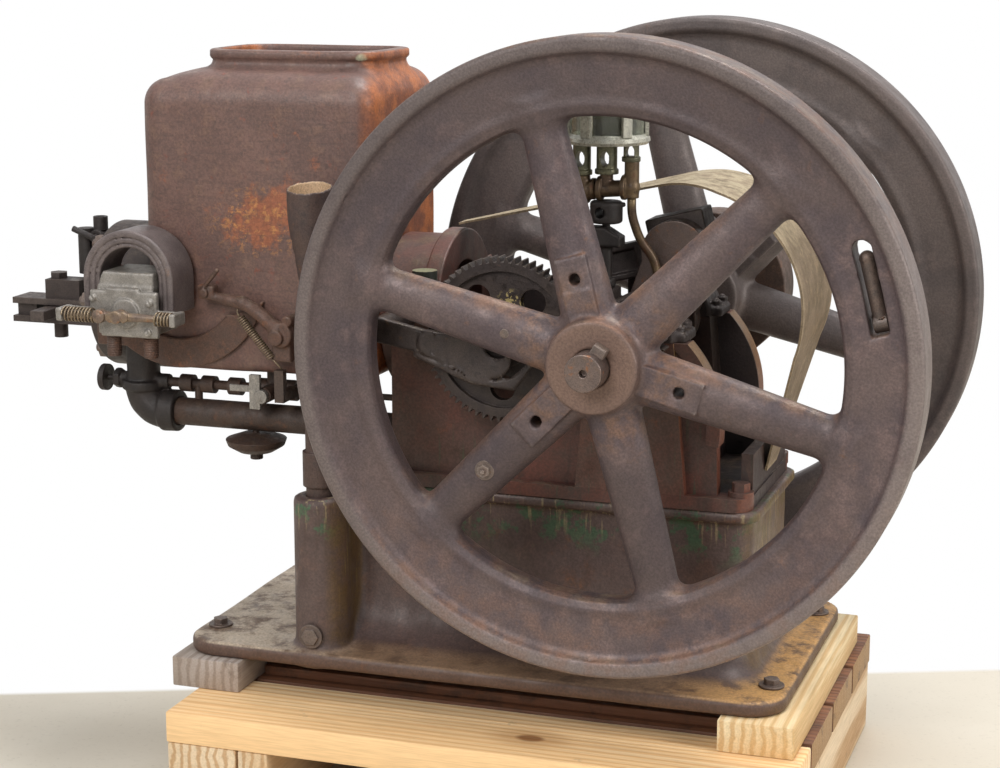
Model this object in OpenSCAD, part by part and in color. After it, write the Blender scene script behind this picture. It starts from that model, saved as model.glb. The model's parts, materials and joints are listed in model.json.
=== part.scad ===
// Hit-and-miss engine: one horizontal cylinder cooled by an open water hopper,
// two flywheels on a crankshaft, on its timber stand.
// Units are millimetres. +Z is up, the crankshaft lies along Y, the cylinder points to -X.
// X is zero at the middle of the base plate, Y on the cylinder's centre line and Z at the
// underside of the stand. Places on the engine are measured from the crankshaft's centre.

/* [Stand] */
// Height of the stringers that lie on the floor
stringer_h = 89; // [60:1:140]
// Thickness of the deck boards
deck_t = 38; // [19:1:50]
// Width of each deck board
deck_w = 133; // [90:1:150]
// Gap between neighbouring deck boards
deck_gap = 8; // [2:1:30]
// Length of the deck boards
deck_len = 748; // [700:1:900]
// Width of the two bearers under the base plate
bearer_w = 89; // [60:1:110]
// Thickness of the two bearers
bearer_t = 38; // [25:1:60]
// Length of the two bearers
bearer_len = 430; // [400:1:520]

/* [Base] */
// Length of the base plate
base_len = 745; // [700:1:800]
// Width of the base plate
base_w = 418; // [380:1:420]
// Thickness of the base plate's edge
base_t = 18; // [12:1:30]
// Corner radius of the base plate
base_corner = 45; // [20:1:60]
// Distance of the bolt holes from the base plate's ends
hole_inset_x = 23; // [20:0.5:30]
// Distance of the bolt holes from the base plate's sides
hole_inset_y = 65.5; // [60:0.5:75]
// Width of the box under the crankcase
box_w = 226; // [210:1:240]
// Height of the crankshaft above the joint between base and crankcase
case_h = 194; // [188:1:200]
// Radius of the filler column cast on the base
column_r = 32; // [26:1:36]

/* [Crankshaft and flywheels] */
// Height of the crankshaft above the base's underside
crank_h = 408; // [400:1:430]
// Distance of the crankshaft ahead of the base plate's middle
crank_x = 171.5; // [165:0.5:178]
// Crank throw, half of the piston's stroke
throw = 97; // [88:1:102]
// Angle of the crank pin at rest, above the +X direction
crank_angle = 71; // [60:1:80]
// Radius of the crankshaft's ends and journals
shaft_r = 21; // [18:0.5:24]
// Length of the crankshaft beyond each flywheel hub
shaft_stub = 30; // [20:1:45]
// Outer radius of the flywheels
wheel_r = 355; // [345:1:362]
// Inner radius of the flywheel rims
rim_inner_r = 268; // [255:1:285]
// Width of the flywheel rims
rim_w = 60; // [50:1:62]
// Distance of each flywheel's mid plane from the centre line
wheel_y = 246.5; // [244:0.5:256]
// Radius of the flywheel hubs
hub_r = 52; // [46:1:60]
// Length of the flywheel hubs
hub_w = 87; // [70:1:88]
// Width of a spoke at the hub
spoke_w = 64; // [50:1:66]
// Radius of the pulley bolt holes in the spokes' pads
pad_hole_r = 6.5; // [5:0.5:8]
// Radius of the circle on which the pulley bolt holes lie
pad_circle_r = 96; // [90:1:104]

/* [Timing] */
// Gear module, which is the pitch diameter over the number of teeth
gear_module = 2.94; // [2.8:0.01:3]
// Teeth on the crank pinion; the timing gear has twice as many
pinion_teeth = 32; // [30:1:34]
// Width of the timing gear's face
gear_w = 24; // [16:1:26]

/* [Hopper and cylinder] */
// Length of the water hopper
hopper_len = 306; // [290:1:310]
// Width of the water hopper
hopper_w = 236; // [220:1:250]
// Height of the water hopper's body
hopper_h = 369; // [340:1:400]
// Thickness of the hopper's walls
hopper_wall = 9; // [6:1:14]
// Height of the hopper's filling collar
collar_h = 22; // [14:1:30]
// Bore of the cylinder
bore = 128; // [110:1:134]
// Radius of the cylinder casting behind the hopper
barrel_r = 104; // [98:1:110]
// Radius of the cylinder head
head_r = 94; // [88:1:98]
// Thickness of the cylinder head
head_t = 92; // [80:1:105]

/* [Crankcase] */
// Distance of the crankcase's outer wall faces from the centre line
cheek_y = 112; // [108:1:116]
// Thickness of the crankcase walls
cheek_t = 18; // [14:1:22]
// Radius of the crankcase's curved front edge
cheek_arc = 146; // [140:1:150]
// Width of the sheet guard over the crank
guard_w = 184; // [170:1:186]
// Inner radius of the sheet guard's bend
guard_r = 140; // [137:1:146]

/* [Fittings] */
// Outer radius of the intake pipe
intake_r = 17.5; // [15:0.5:20]
// Outer width of the magneto's magnets
magnet_w = 121; // [112:1:126]
// Width of the space inside the inner magnet
magnet_gap = 78; // [74:1:82]
// Outer radius of the tall filler pipe
filler_r = 16.7; // [14:0.1:20]
// Outer radius of the filler funnel's mouth
funnel_r = 28; // [25:1:31]

/* [Hidden] */
$fn = 64;
eps = 1;                 // how far a cutter runs past the face it opens
fit = 0.15;              // radial gap of fixed fits
run_fit = 0.06;          // radial gap of running fits
seat = 0.1;              // gap between pieces that bear on each other

base_z = stringer_h + deck_t + bearer_t;
crank_z = base_z + crank_h;
rim_z = -case_h;                     // crankcase joint, from the crankshaft
floor_t = 16;                        // thickness of the crankcase's foot
floor_z = rim_z + floor_t;
case_x0 = -300;                      // ends of the crankcase, from the crankshaft
case_x1 = 142;
box_x0 = -400;
foot_y = 124;                        // half width of the crankcase's foot
front_x = case_x1 - 2;               // low wall in front of the crank
front_z = rim_z + 64;
barrel_x1 = -245;                    // crank end of the cylinder casting
hopper_x1 = -322;
hopper_r = 29;                       // corners and shoulder of the hopper
hopper_rise = 12;                    // camber of the hopper's top towards the collar
hopper_x0 = hopper_x1 - hopper_len;
hopper_z0 = -71;
hopper_z1 = hopper_z0 + hopper_h;
cheek_in = cheek_y - cheek_t;        // inner faces of the crankcase walls
hub_out = wheel_y + hub_w / 2;
hub_in = wheel_y - hub_w / 2;
shaft_end = hub_out + shaft_stub;
pin_x = throw * cos(crank_angle);
pin_z = throw * sin(crank_angle);
pin_r = 24;
big_end_r = 42;
big_end_w = 50;
web_r = 40;
web_t = 26;
web_in = big_end_w / 2 + 2;
web_out = web_in + web_t;
gear_teeth = 2 * pinion_teeth;
pinion_r = gear_module * pinion_teeth / 2;
gear_r = gear_module * gear_teeth / 2;
gear_x = -(pinion_r + gear_r + 0.6);  // centre distance with backlash
gear_y0 = -(cheek_y + 30);            // back face of the gear, towards the crankcase
rod_len = 380;
rod_tilt = asin(pin_z / rod_len);
spokes = [-15, 45, 105, 165, 225, 285];
near_pads = [105, 225, -15];         // spokes with a drilled pad for a belt pulley
far_pads = [45, 165, 285];           // and those of the far wheel, with smaller holes
far_circle_r = 90;
far_hole_r = 5.5;

// Places of the fittings, from the crankshaft
deck_x0 = -345;
deck_boards = 4;
deck_depth = deck_boards * deck_w + (deck_boards - 1) * deck_gap;
deck_y0 = -307;
bearer_y0 = -222;
bearer_left = -base_len / 2 + bearer_w / 2 - 6;
bearer_right = base_len / 2 - bearer_w / 2 + 20;
lag_r = 6;
bolt_hole_r = 8;
column_x = -372;
column_y = -168;
push_r = 6;
push_y = 138;
cap_top = 55;
cap_t = 14;                          // thickness of the bearing caps' flanges
collar_x0 = -558;
collar_x1 = -338;
collar_y = 72;
collar_lip = 4;
wrist_x = pin_x - rod_len * cos(rod_tilt);
handle_a = 14;                       // angle and radius of the folding handle's slot
handle_r = (rim_inner_r + wheel_r) / 2 - 2;
slot_y0 = -26;
slot_y1 = 77;
guard_x = 50;                        // centre of the guard's bend
guard_z = 35;
guard_t = 3;
oil_x = -42;
oil_y = -84;
oiler_z = 222;
header_z = 166;                      // cross tube under the oiler
rocker_x = hopper_x0 - head_t - 82;
rocker_y = -20;
rocker_z = -24;
cup_x = hopper_x0 - head_t - 29;     // priming cup
cup_z = 72;
elbow_x = -651;
intake_y = -80;
intake_z = -134;
needle_z = -97;
bend = 30;
air_x = -496;
air_r = 38.5;
cock_x = -466;
cock_front = 121;
mag_x = -614;
mag_z = 8;
mag_y0 = -196;
mag_y1 = -124;
mag_foot_z = -46;
magnet_top = 40;                     // centre of the magnets' bend above the rotor
post_x = 76;                         // spring posts and rotor horns, from the rotor
horn_left = 31;
horn_right = 50;
trip_x = -433;
trip_z = -13;
trip_y = -136;
trip_half = 8;                        // half the arm's thickness and depth
trip_knee = 8.5;

// Everything on the engine is placed from the crankshaft's centre
module engine() { translate([crank_x, 0, crank_z]) children(); }

// A straight round bar between two points
module bar(p, q, r) {
    d = q - p;
    len = norm(d);
    translate(p) rotate([0, acos(d[2] / len), atan2(d[1], d[0])]) cylinder(h = len, r = r);
}
// Round bars along X and Y
module xbar(x0, x1, r) { translate([x0, 0, 0]) rotate([0, 90, 0]) cylinder(h = x1 - x0, r = r); }
module ybar(y0, y1, r) { translate([0, y1, 0]) rotate([90, 0, 0]) cylinder(h = y1 - y0, r = r); }
// A round tube through a list of points
module tube(pts, r) {
    for (i = [0:len(pts) - 2]) bar(pts[i], pts[i + 1], r);
    for (i = [1:len(pts) - 2]) translate(pts[i]) sphere(r * 1.06);
}
module box(x0, x1, y0, y1, z0, z1) { translate([x0, y0, z0]) cube([x1 - x0, y1 - y0, z1 - z0]); }
// A flat outline in X and Z, made thick along Y
module plate_y(y0, y1) { translate([0, y1, 0]) rotate([90, 0, 0]) linear_extrude(y1 - y0) children(); }
// A rectangle with round corners
module round_rect(x0, x1, y0, y1, r) {
    translate([x0 + r, y0]) square([x1 - x0 - 2 * r, y1 - y0]);
    translate([x0, y0 + r]) square([x1 - x0, y1 - y0 - 2 * r]);
    for (x = [x0 + r, x1 - r], y = [y0 + r, y1 - r]) translate([x, y]) circle(r);
}
module hexagon(r, h) { cylinder(h = h, r = r, $fn = 6); }
// A closed helical spring along +Z
module spring(r, wire, len, turns) {
    for (i = [0:turns - 1])
        translate([0, 0, wire + i * (len - 2 * wire) / (turns - 1)])
            rotate_extrude($fn = 24) translate([r, 0]) circle(wire, $fn = 8);
    difference() {
        cylinder(h = len, r = r - wire * 0.2, $fn = 24);
        translate([0, 0, -eps]) cylinder(h = len + 2 * eps, r = r - wire, $fn = 24);
    }
}

// ---- stand
module stringer(x, w) { box(x - w / 2, x + w / 2, deck_y0, deck_y0 + deck_depth, 0, stringer_h); }
module pallet_stringers() {
    color("burlywood") {
        stringer(deck_x0 + 46, 89);
        stringer(deck_x0 + 112, 38);
        stringer(0, 89);
        stringer(deck_x0 + deck_len - 46, 89);
        stringer(deck_x0 + deck_len - 112, 38);
    }
}
module pallet_deck() {
    color("sandybrown") {
        for (i = [0:deck_boards - 1])
            translate([deck_x0, deck_y0 + i * (deck_w + deck_gap), stringer_h]) cube([deck_len, deck_w, deck_t]);
        box(bearer_left + bearer_w / 2 + 2, bearer_right - bearer_w / 2 - 2, -150, -20,
            stringer_h + deck_t, stringer_h + deck_t + 12);
    }
}
module bearers() {
    color("wheat") difference() {
        for (x = [bearer_left, bearer_right])
            box(x - bearer_w / 2, x + bearer_w / 2, bearer_y0, bearer_y0 + bearer_len, stringer_h + deck_t, base_z);
        base_holes(lag_r, -bearer_t - eps, eps);
    }
}

// ---- base
module at_base_holes() {
    for (x = [-1, 1], y = [-1, 1])
        translate([x * (base_len / 2 - hole_inset_x), y * (base_w / 2 - hole_inset_y), base_z]) children();
}
module base_holes(r, z0, z1) { at_base_holes() translate([0, 0, z0]) cylinder(h = z1 - z0, r = r); }
// One slope of the base box's flared foot, wider by g0 at the bottom and g1 at the top
module flare(g0, z0, g1, z1) {
    hull() for (g = [[g0, z0], [g1, z1 - 0.5]]) translate([0, 0, g[1]]) linear_extrude(0.5)
        round_rect(box_x0 - g[0] * 0.35, case_x1 + g[0] * 0.35, -box_w / 2 - g[0], box_w / 2 + g[0], 22 + g[0] * 0.5,
            $fn = 32);
}
module base_casting() {
    color("peru") {
        difference() {
            translate([0, 0, base_z]) linear_extrude(base_t)
                round_rect(-base_len / 2, base_len / 2, -base_w / 2, base_w / 2, base_corner);
            base_holes(bolt_hole_r, -eps, base_t + eps);
        }
        engine() {
            flare(52, base_t - crank_h - 1, 26, base_t + 14 - crank_h);
            flare(25.3, base_t + 13 - crank_h, 8, base_t + 42 - crank_h);
            flare(7.6, base_t + 41 - crank_h, 0, rim_z - 12);
            translate([0, 0, rim_z - 13]) linear_extrude(13)
                round_rect(box_x0 - 5, case_x1 + 10, -foot_y, foot_y, 26);
            difference() {
                union() {
                    translate([column_x, column_y, base_t - crank_h - 1])
                        cylinder(h = rim_z - 15 + crank_h - base_t, r = column_r);
                    translate([column_x, column_y, rim_z - 16]) cylinder(h = 12, r1 = column_r, r2 = column_r - 9);
                    box(column_x - column_r + 3, column_x + column_r - 3, column_y, -box_w / 2 + 5,
                        base_t - crank_h - 2, rim_z - 17);
                }
                translate([column_x, column_y, rim_z - 30]) cylinder(h = 40, r = filler_r + fit);
                // flat seat of the drain plug
                translate([column_x, column_y - column_r - 4, base_t + 20 - crank_h]) rotate([-90, 0, 0])
                    cylinder(h = 4, r = 16);
            }
        }
    }
}
module base_bolts() {
    color("dimgray") {
        at_base_holes() {
            translate([0, 0, base_t + seat]) cylinder(h = 3, r = 15);
            translate([0, 0, base_t + seat + 3]) hexagon(9.5, 7);
            translate([0, 0, 2 - bearer_t]) cylinder(h = base_t + bearer_t, r = lag_r - fit);
        }
        // drain plug at the foot of the column
        engine() translate([column_x, column_y - column_r - seat, base_t + 20 - crank_h])
            rotate([90, 0, 0]) { cylinder(h = 5, r = 15); hexagon(11, 8); }
    }
}

// ---- filler
module filler_pipe() {
    top = 168;
    color("saddlebrown") engine() translate([column_x, column_y, 0]) difference() {
        union() {
            translate([0, 0, rim_z - 30 + seat]) cylinder(h = 70 - rim_z + 30, r = filler_r);
            translate([0, 0, rim_z + 4]) cylinder(h = 42, r = filler_r + 3.5);
            translate([0, 0, 70]) cylinder(h = 52, r1 = filler_r, r2 = funnel_r);
            translate([0, 0, 122]) cylinder(h = top - 122, r = funnel_r);
        }
        translate([0, 0, rim_z]) cylinder(h = 80 - rim_z, r = filler_r - 3);
        translate([0, 0, 74]) cylinder(h = 51, r1 = filler_r - 3, r2 = funnel_r - 2.5);
        translate([0, 0, 124.5]) cylinder(h = top - 124.5 + eps, r = funnel_r - 2.5);
    }
}

// ---- crankcase
module crankcase_floor() {
    color("sienna") engine() {
        translate([0, 0, rim_z + seat]) linear_extrude(floor_t - seat)
            round_rect(case_x0 - 32, case_x1, -foot_y, foot_y, 24);
        for (x = [case_x0 - 16, case_x1 - 14], y = [-1, 1]) translate([x, y * (foot_y - 22), floor_z - floor_t / 2]) {
            cylinder(h = floor_t / 2 + 6, r = 15);
            cylinder(h = floor_t / 2 + 16, r = 11, $fn = 6);
        }
        // bulkhead under the cylinder and low wall in front of the crank
        box(case_x0 + 8, barrel_x1 + 10, seat - cheek_in, cheek_in - seat, floor_z, -barrel_r - 2);
        box(front_x - 14, front_x, seat - cheek_in, cheek_in - seat, floor_z, front_z);
    }
}
// Side outline of a crankcase wall
module cheek_outline() {
    union() {
        polygon([[case_x0, floor_z + seat], [case_x0, -8], [-286, 40], [-250, 56], [barrel_x1, 48], [-150, 26],
            [-90, 0], [-60, 0], [60, 0], [100, -96], [102, floor_z + seat]]);
    }
    intersection() {
        translate([-40, -100]) circle(cheek_arc);
        polygon([[-40, -100], [200, -130], [200, 120], [60, 120], [20, 0]]);
    }
}
module cheek(stud) {
    difference() {
        union() {
            plate_y(-cheek_y, -cheek_in) cheek_outline();
            // stiff flange along the curved front edge
            plate_y(-cheek_y - 10, -cheek_y + eps) intersection() {
                difference() {
                    translate([-40, -100]) circle(cheek_arc);
                    translate([-40, -100]) circle(cheek_arc - 16);
                }
                polygon([[-40, -100], [200, -130], [200, 60], [60, 60], [20, 0]]);
            }
            // bearing pedestal
            ybar(-cheek_y - 12, -web_out - 6, 50);
            plate_y(-cheek_y - 12, -web_out - 6) polygon([[-50, 0], [50, 0], [66, floor_z + seat],
                [-66, floor_z + seat]]);
            if (stud) {
                translate([gear_x, 0, 0]) ybar(gear_y0 + 3, -cheek_y + eps, 24);
                translate([gear_x, 0, 0]) ybar(gear_y0 - gear_w - 16, -cheek_y + eps, 12);
                // grease cup above the joint with the cylinder
                translate([barrel_x1 - 16, -cheek_y + 12, 34]) cylinder(h = 32, r = 15);
            }
        }
        box(-80, 80, -cheek_y - 30, 0, 0, 120);
        ybar(-cheek_y - 30, 0, shaft_r + run_fit);
        xbar(case_x0 - 30, barrel_x1 + 0.3, barrel_r + fit);
    }
}
module crankcase_near() {
    color("sienna") engine() difference() {
        cheek(true);
        translate([0, intake_y, intake_z]) xbar(case_x0 - eps, case_x0 + 10, intake_r + fit);
    }
}
module crankcase_far() {
    color("sienna") engine() {
        mirror([0, 1, 0]) cheek(false);
        // guide of the exhaust pushrod
        difference() {
            box(case_x0 + 4, case_x0 + 34, cheek_y - eps, push_y + 14, rocker_z - 14, rocker_z + 14);
            translate([0, push_y, rocker_z]) xbar(case_x0, case_x0 + 40, push_r + run_fit);
        }
    }
}
module bearing_caps() {
    color("saddlebrown") engine() for (s = [0, 1]) mirror([0, s, 0]) difference() {
        union() {
            difference() {
                ybar(-cheek_y - 12, -web_out - 6, 50);
                box(-80, 80, -cheek_y - 30, 0, -80, seat);
            }
            box(-72, 72, -cheek_y - 8, -web_out - 10, seat, cap_t);
            for (x = [-59, 59], y = [-cheek_y + 2, -web_out - 22]) translate([x, y, cap_t]) hexagon(10, 9);
            box(oil_x - 14, oil_x + 14, -cheek_y + 6, -web_out - 10, seat, cap_top - seat);
            translate([oil_x + 60, oil_y + 18, cap_t]) cylinder(h = cap_top - 2 - cap_t - seat, r = 8);
        }
        ybar(-cheek_y - 30, 0, shaft_r + run_fit);
    }
}

// ---- cylinder, hopper, head
module cylinder_casting() {
    difference() {
        union() {
            xbar(hopper_x1 + seat, barrel_x1, barrel_r - 8);
            xbar(barrel_x1 - 22, barrel_x1, barrel_r);
        }
        xbar(hopper_x1 - eps, barrel_x1 + eps, bore / 2);
    }
}
module cylinder_body() { color("peru") engine() cylinder_casting(); }
module hopper_shape(g) {
    r = hopper_r - g;
    top = hopper_z1 - hopper_rise - g;
    hull() for (x = [hopper_x0 + g + r, hopper_x1 - g - r], y = [-1, 1])
        translate([x, y * (hopper_w / 2 - g - r), 0]) {
            translate([0, 0, hopper_z0 + g]) cylinder(h = 1, r = r, $fn = 32);
            translate([0, 0, top - r]) rotate_extrude($fn = 32)
                intersection() { circle(r, $fn = 32); square(r); }
            if (g == 0) translate([x < collar_x0 ? 38 : -9, -y * 17, top + hopper_rise - 1])
                cylinder(h = 1, r = 15, $fn = 24);
        }
}
module water_hopper() {
    color("brown") engine() difference() {
        union() {
            difference() {
                hopper_shape(0);
                hopper_shape(hopper_wall);
            }
            translate([0, 0, hopper_z1 - hopper_rise - 8]) linear_extrude(collar_h + hopper_rise + 8)
                round_rect(collar_x0, collar_x1, -collar_y, collar_y, 34);
            translate([0, 0, hopper_z1 + collar_h - 6]) linear_extrude(6)
                round_rect(collar_x0 - collar_lip, collar_x1 + collar_lip, -collar_y - collar_lip,
                    collar_y + collar_lip, 34 + collar_lip);
            xbar(hopper_x0 + hopper_wall, hopper_x1 - hopper_wall, bore / 2 + 12);
        }
        translate([0, 0, hopper_z1 - hopper_wall - 30]) linear_extrude(collar_h + hopper_wall + 31)
            round_rect(collar_x0 + 9, collar_x1 - 9, -collar_y + 9, collar_y - 9, 25);
        xbar(hopper_x0 - eps, hopper_x1 + eps, bore / 2);
    }
}
module cylinder_head() {
    color("saddlebrown") engine() difference() {
        union() {
            xbar(hopper_x0 - head_t, hopper_x0 - seat, head_r);
            xbar(hopper_x0 - head_t - 14, hopper_x0 - head_t, 40);
        }
        for (a = [0:60:300]) rotate([a + 30, 0, 0]) translate([0, 0, 78]) xbar(hopper_x0 - head_t - 20, hopper_x0, 6);
        translate([0, 0, cup_z]) xbar(hopper_x0 - head_t - 20, hopper_x0 - head_t + 25, 7);
    }
}
module head_nuts() {
    color("dimgray") engine() for (a = [0:60:300]) rotate([a + 30, 0, 0]) translate([0, 0, 78]) {
        xbar(hopper_x0 - head_t - 18, hopper_x0 - seat, 6 - fit);
        translate([hopper_x0 - head_t - seat, 0, 0]) rotate([0, -90, 0]) hexagon(13, 12);
    }
}
module piston() {
    color("gray") engine() {
        difference() {
            xbar(wrist_x - 75, wrist_x + 70, bore / 2 - run_fit);
            xbar(wrist_x - 45, wrist_x + 71, bore / 2 - 12);
        }
        translate([wrist_x, 0, 0]) ybar(-bore / 2 + 10, bore / 2 - 10, 14);
        translate([wrist_x, 0, 0]) rotate([0, -rod_tilt, 0]) box(0, 60, -12, 12, -18, 18);
    }
}

// ---- crank, rod and wheels
module crankshaft() {
    color("dimgray") engine() {
        difference() {
            union() {
                ybar(-shaft_end, -web_out + eps, shaft_r);
                ybar(web_out - eps, shaft_end, shaft_r);
            }
            for (s = [0, 1]) mirror([0, s, 0]) ybar(-shaft_end - eps, -shaft_end + 8, 4);
        }
        for (s = [0, 1]) mirror([0, s, 0]) {
            plate_y(-web_out, -web_in) {
                circle(web_r);
                translate([pin_x, pin_z]) circle(web_r);
                rotate(crank_angle) translate([0, 6 - web_r]) square([throw, 2 * web_r - 12]);
            }
            // gib key driven between hub and shaft
            rotate([0, -60, 0]) box(shaft_r - 4, shaft_r + 5, -hub_out - 14, -hub_in - 6, -5, 5);
        }
        translate([pin_x, 0, pin_z]) ybar(-web_in - eps, web_in + eps, pin_r);
    }
}
module connecting_rod() {
    stub = 142;
    color("slategray") engine() translate([pin_x, 0, pin_z]) rotate([0, -rod_tilt, 0]) difference() {
        union() {
            ybar(-big_end_w / 2, big_end_w / 2, big_end_r);
            box(-stub, -20, -14, 14, -21, 21);
            box(-34, 37, -big_end_w / 2, big_end_w / 2, -44, 44);
        }
        ybar(-big_end_w, big_end_w, pin_r + run_fit);
        for (s = [0, 1]) mirror([0, s, 0]) box(-stub - eps, -58, 7, 20, -13, 13);
    }
}
function tooth(n, m, add, ded, wid) =
    let (rp = m * n / 2, step = 360 / n)
    [for (i = [0:n - 1]) each [
        [rp - ded, i * step - step * 0.30], [rp + add, i * step - step * wid],
        [rp + add, i * step + step * wid], [rp - ded, i * step + step * 0.30]]];
module gear_outline(n, phase) {
    rotate(phase) polygon([for (p = tooth(n, gear_module, gear_module * 0.9, gear_module * 1.1, 0.10))
        [p[0] * cos(p[1]), p[0] * sin(p[1])]]);
}
module crank_pinion() {
    color("gray") engine() difference() {
        union() {
            plate_y(gear_y0 - gear_w, gear_y0) gear_outline(pinion_teeth, 0);
            ybar(gear_y0 - gear_w - 8, gear_y0 + 8, 34);
        }
        ybar(gear_y0 - 60, gear_y0 + 60, shaft_r + fit);
    }
}
module timing_gear() {
    color("gray") engine() translate([gear_x, 0, 0]) difference() {
        union() {
            plate_y(gear_y0 - gear_w, gear_y0) gear_outline(gear_teeth, 180 / gear_teeth);
            ybar(gear_y0 - gear_w - 8, gear_y0, 26);
        }
        for (s = [0, 1]) translate([0, s ? gear_y0 : gear_y0 - gear_w, 0])
            difference() { ybar(-7, 7, gear_r - 14); ybar(-8, 8, 32); }
        for (a = [20:72:350]) rotate([0, a, 0]) translate([57, 0, 0]) ybar(gear_y0 - 60, gear_y0 + 60, 15);
        ybar(gear_y0 - 60, gear_y0 + 60, 12 + run_fit);
    }
}
// Flywheel in its own plane, outer side towards +Z
module wheel_rim() {
    h = rim_w / 2;
    rotate_extrude($fn = 96) polygon([[rim_inner_r, -10], [rim_inner_r, 10], [rim_inner_r + 4, 17],
        [rim_inner_r + 12, 20], [rim_inner_r + 22, 18], [wheel_r - 24, 21], [wheel_r - 20, 24], [wheel_r - 16, h - 1],
        [wheel_r - 14, h], [wheel_r - 3, h], [wheel_r, h - 4], [wheel_r, 4 - h], [wheel_r - 3, -h],
        [wheel_r - 14, -h],
        [wheel_r - 20, -24], [wheel_r - 24, -21], [rim_inner_r + 22, -18], [rim_inner_r + 12, -20],
        [rim_inner_r + 4, -17]]);
}
module spoke() {
    hull() {
        translate([hub_r - 12, 0, 0]) rotate([0, 90, 0])
            scale([0.72, 1, 1]) cylinder(h = 1, r = spoke_w / 2, $fn = 28);
        translate([rim_inner_r + 5, 0, 0]) rotate([0, 90, 0])
            scale([0.68, 1, 1]) cylinder(h = 1, r = spoke_w * 0.37, $fn = 28);
    }
}
module wheel(pads, circle_r, hole_r, slot) {
    difference() {
        union() {
            wheel_rim();
            translate([0, 0, -hub_w / 2]) cylinder(h = hub_w, r = hub_r);
            for (a = spokes) rotate(a) spoke();
            for (a = pads) rotate(a) {
                translate([hub_r - 10, -18, -24]) cube([pad_circle_r + 25 - hub_r + 10, 36, 48]);
                translate([hub_r - 10, -17, -25.5]) cube([pad_circle_r - 12 - hub_r + 10, 34, 51]);
            }
        }
        translate([0, 0, -hub_w]) cylinder(h = 2 * hub_w, r = shaft_r + fit);
        for (a = pads) rotate(a) translate([circle_r, 0, -hub_w]) cylinder(h = 2 * hub_w, r = hole_r);
        rotate(60) translate([shaft_r - 4 - fit, -5 - fit, -hub_w]) cube([9 + 2 * fit, 10 + 2 * fit, 2 * hub_w]);
        if (slot) rotate(handle_a) translate([handle_r, 0, -rim_w]) linear_extrude(2 * rim_w) {
            translate([-11, slot_y0]) square([22, slot_y1 - slot_y0 - 11]);
            translate([0, slot_y1 - 11]) circle(11);
        }
    }
}
module flywheel_near() {
    color("dimgray") engine() translate([0, -wheel_y, 0]) rotate([90, 0, 0])
        wheel(near_pads, pad_circle_r, pad_hole_r, true);
}
module flywheel_far() {
    color("dimgray") engine() mirror([0, 1, 0]) translate([0, -wheel_y, 0]) rotate([90, 0, 0])
        wheel(far_pads, far_circle_r, far_hole_r, false);
}
module belt_pulley() {
    color("saddlebrown") engine() difference() {
        ybar(wheel_y + 26, wheel_y + 88, 100);
        ybar(wheel_y, shaft_end + 60, hub_r + 2);
    }
}
module starting_handle() {
    y0 = slot_y0 + 11;
    color("dimgray") engine() translate([0, -wheel_y, 0]) rotate([90, 0, 0])
        rotate(handle_a) translate([handle_r, 0, 0]) {
        translate([-8, y0, 0]) rotate([0, 90, 0]) cylinder(h = 16, r = 10);
        bar([0, y0, 0], [0, slot_y1 - 22, 4], 8);
        translate([0, slot_y1 - 22, 4]) sphere(8.5);
    }
}

// ---- valve gear and guard
module cam_lever() {
    y0 = gear_y0 - gear_w - 10;
    color("gray") engine() difference() {
        union() {
            plate_y(y0 - 14, y0 - 2) polygon([[-286, 20], [-262, 26], [-180, 6], [-118, -8], [-96, -34], [-110, -56],
                [-140, -62], [-180, -50], [-270, -18]]);
            translate([-128, 0, -34]) ybar(y0 - 20, y0 - 2, 26);
            translate([-232, 0, -4]) ybar(y0 - 20, y0 - 2, 13);
            translate([-284, 0, 8]) ybar(y0 - 14, -cheek_y - seat, 16);
        }
        translate([gear_x, 0, 0]) ybar(y0 - 60, y0 + 20, 12 + 6);
    }
}
module crank_guard() {
    rear_a = 103;
    front_a = -22;
    steps = 28;
    foot = front_x + seat;
    mid = [guard_x, guard_z];
    rear = 276 * [cos(rear_a + 90), sin(rear_a + 90)];
    arc = [for (i = [0:steps]) let (a = rear_a + (front_a - rear_a) * i / steps) [cos(a), sin(a)]];
    // the front tail runs straight down to the low wall and along it
    outer = mid + (guard_r + guard_t) * arc[steps];
    inner = mid + guard_r * arc[steps];
    drop = tan(90 + front_a);
    half = guard_w / 2;
    color("khaki") engine() intersection() {
        // the sheet narrows to the rear and to the foot
        translate([0, 0, -200]) linear_extrude(500) polygon([[-300, -24], [0, -50], [26, -56], [90, -half],
            [260, -half], [260, half], [60, half], [-60, 52], [-300, 24]]);
        translate([-300, 0, 0]) rotate([90, 0, 90]) linear_extrude(600) polygon([[-34, -200], [-half, 20],
            [-half, 300], [half, 300], [half, 20], [34, -200]]);
        plate_y(-half, half) polygon(concat(
            [mid + guard_r * arc[0] + rear], [for (p = arc) mid + guard_r * p],
            [[foot, inner[1] - (inner[0] - foot) * drop], [foot, front_z - 34], [foot + guard_t, front_z - 34],
                [foot + guard_t, outer[1] - (outer[0] - foot - guard_t) * drop]],
            [for (i = [steps:-1:0]) mid + (guard_r + guard_t) * arc[i]],
            [mid + (guard_r + guard_t) * arc[0] + rear]));
    }
}
module oiler() {
    color("silver") engine() translate([oil_x, oil_y, oiler_z]) {
        cylinder(h = 12, r = 50);
        translate([0, 0, 12]) cylinder(h = 60, r = 45);
        translate([0, 0, 72]) cylinder(h = 8, r = 50);
    }
}
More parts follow.
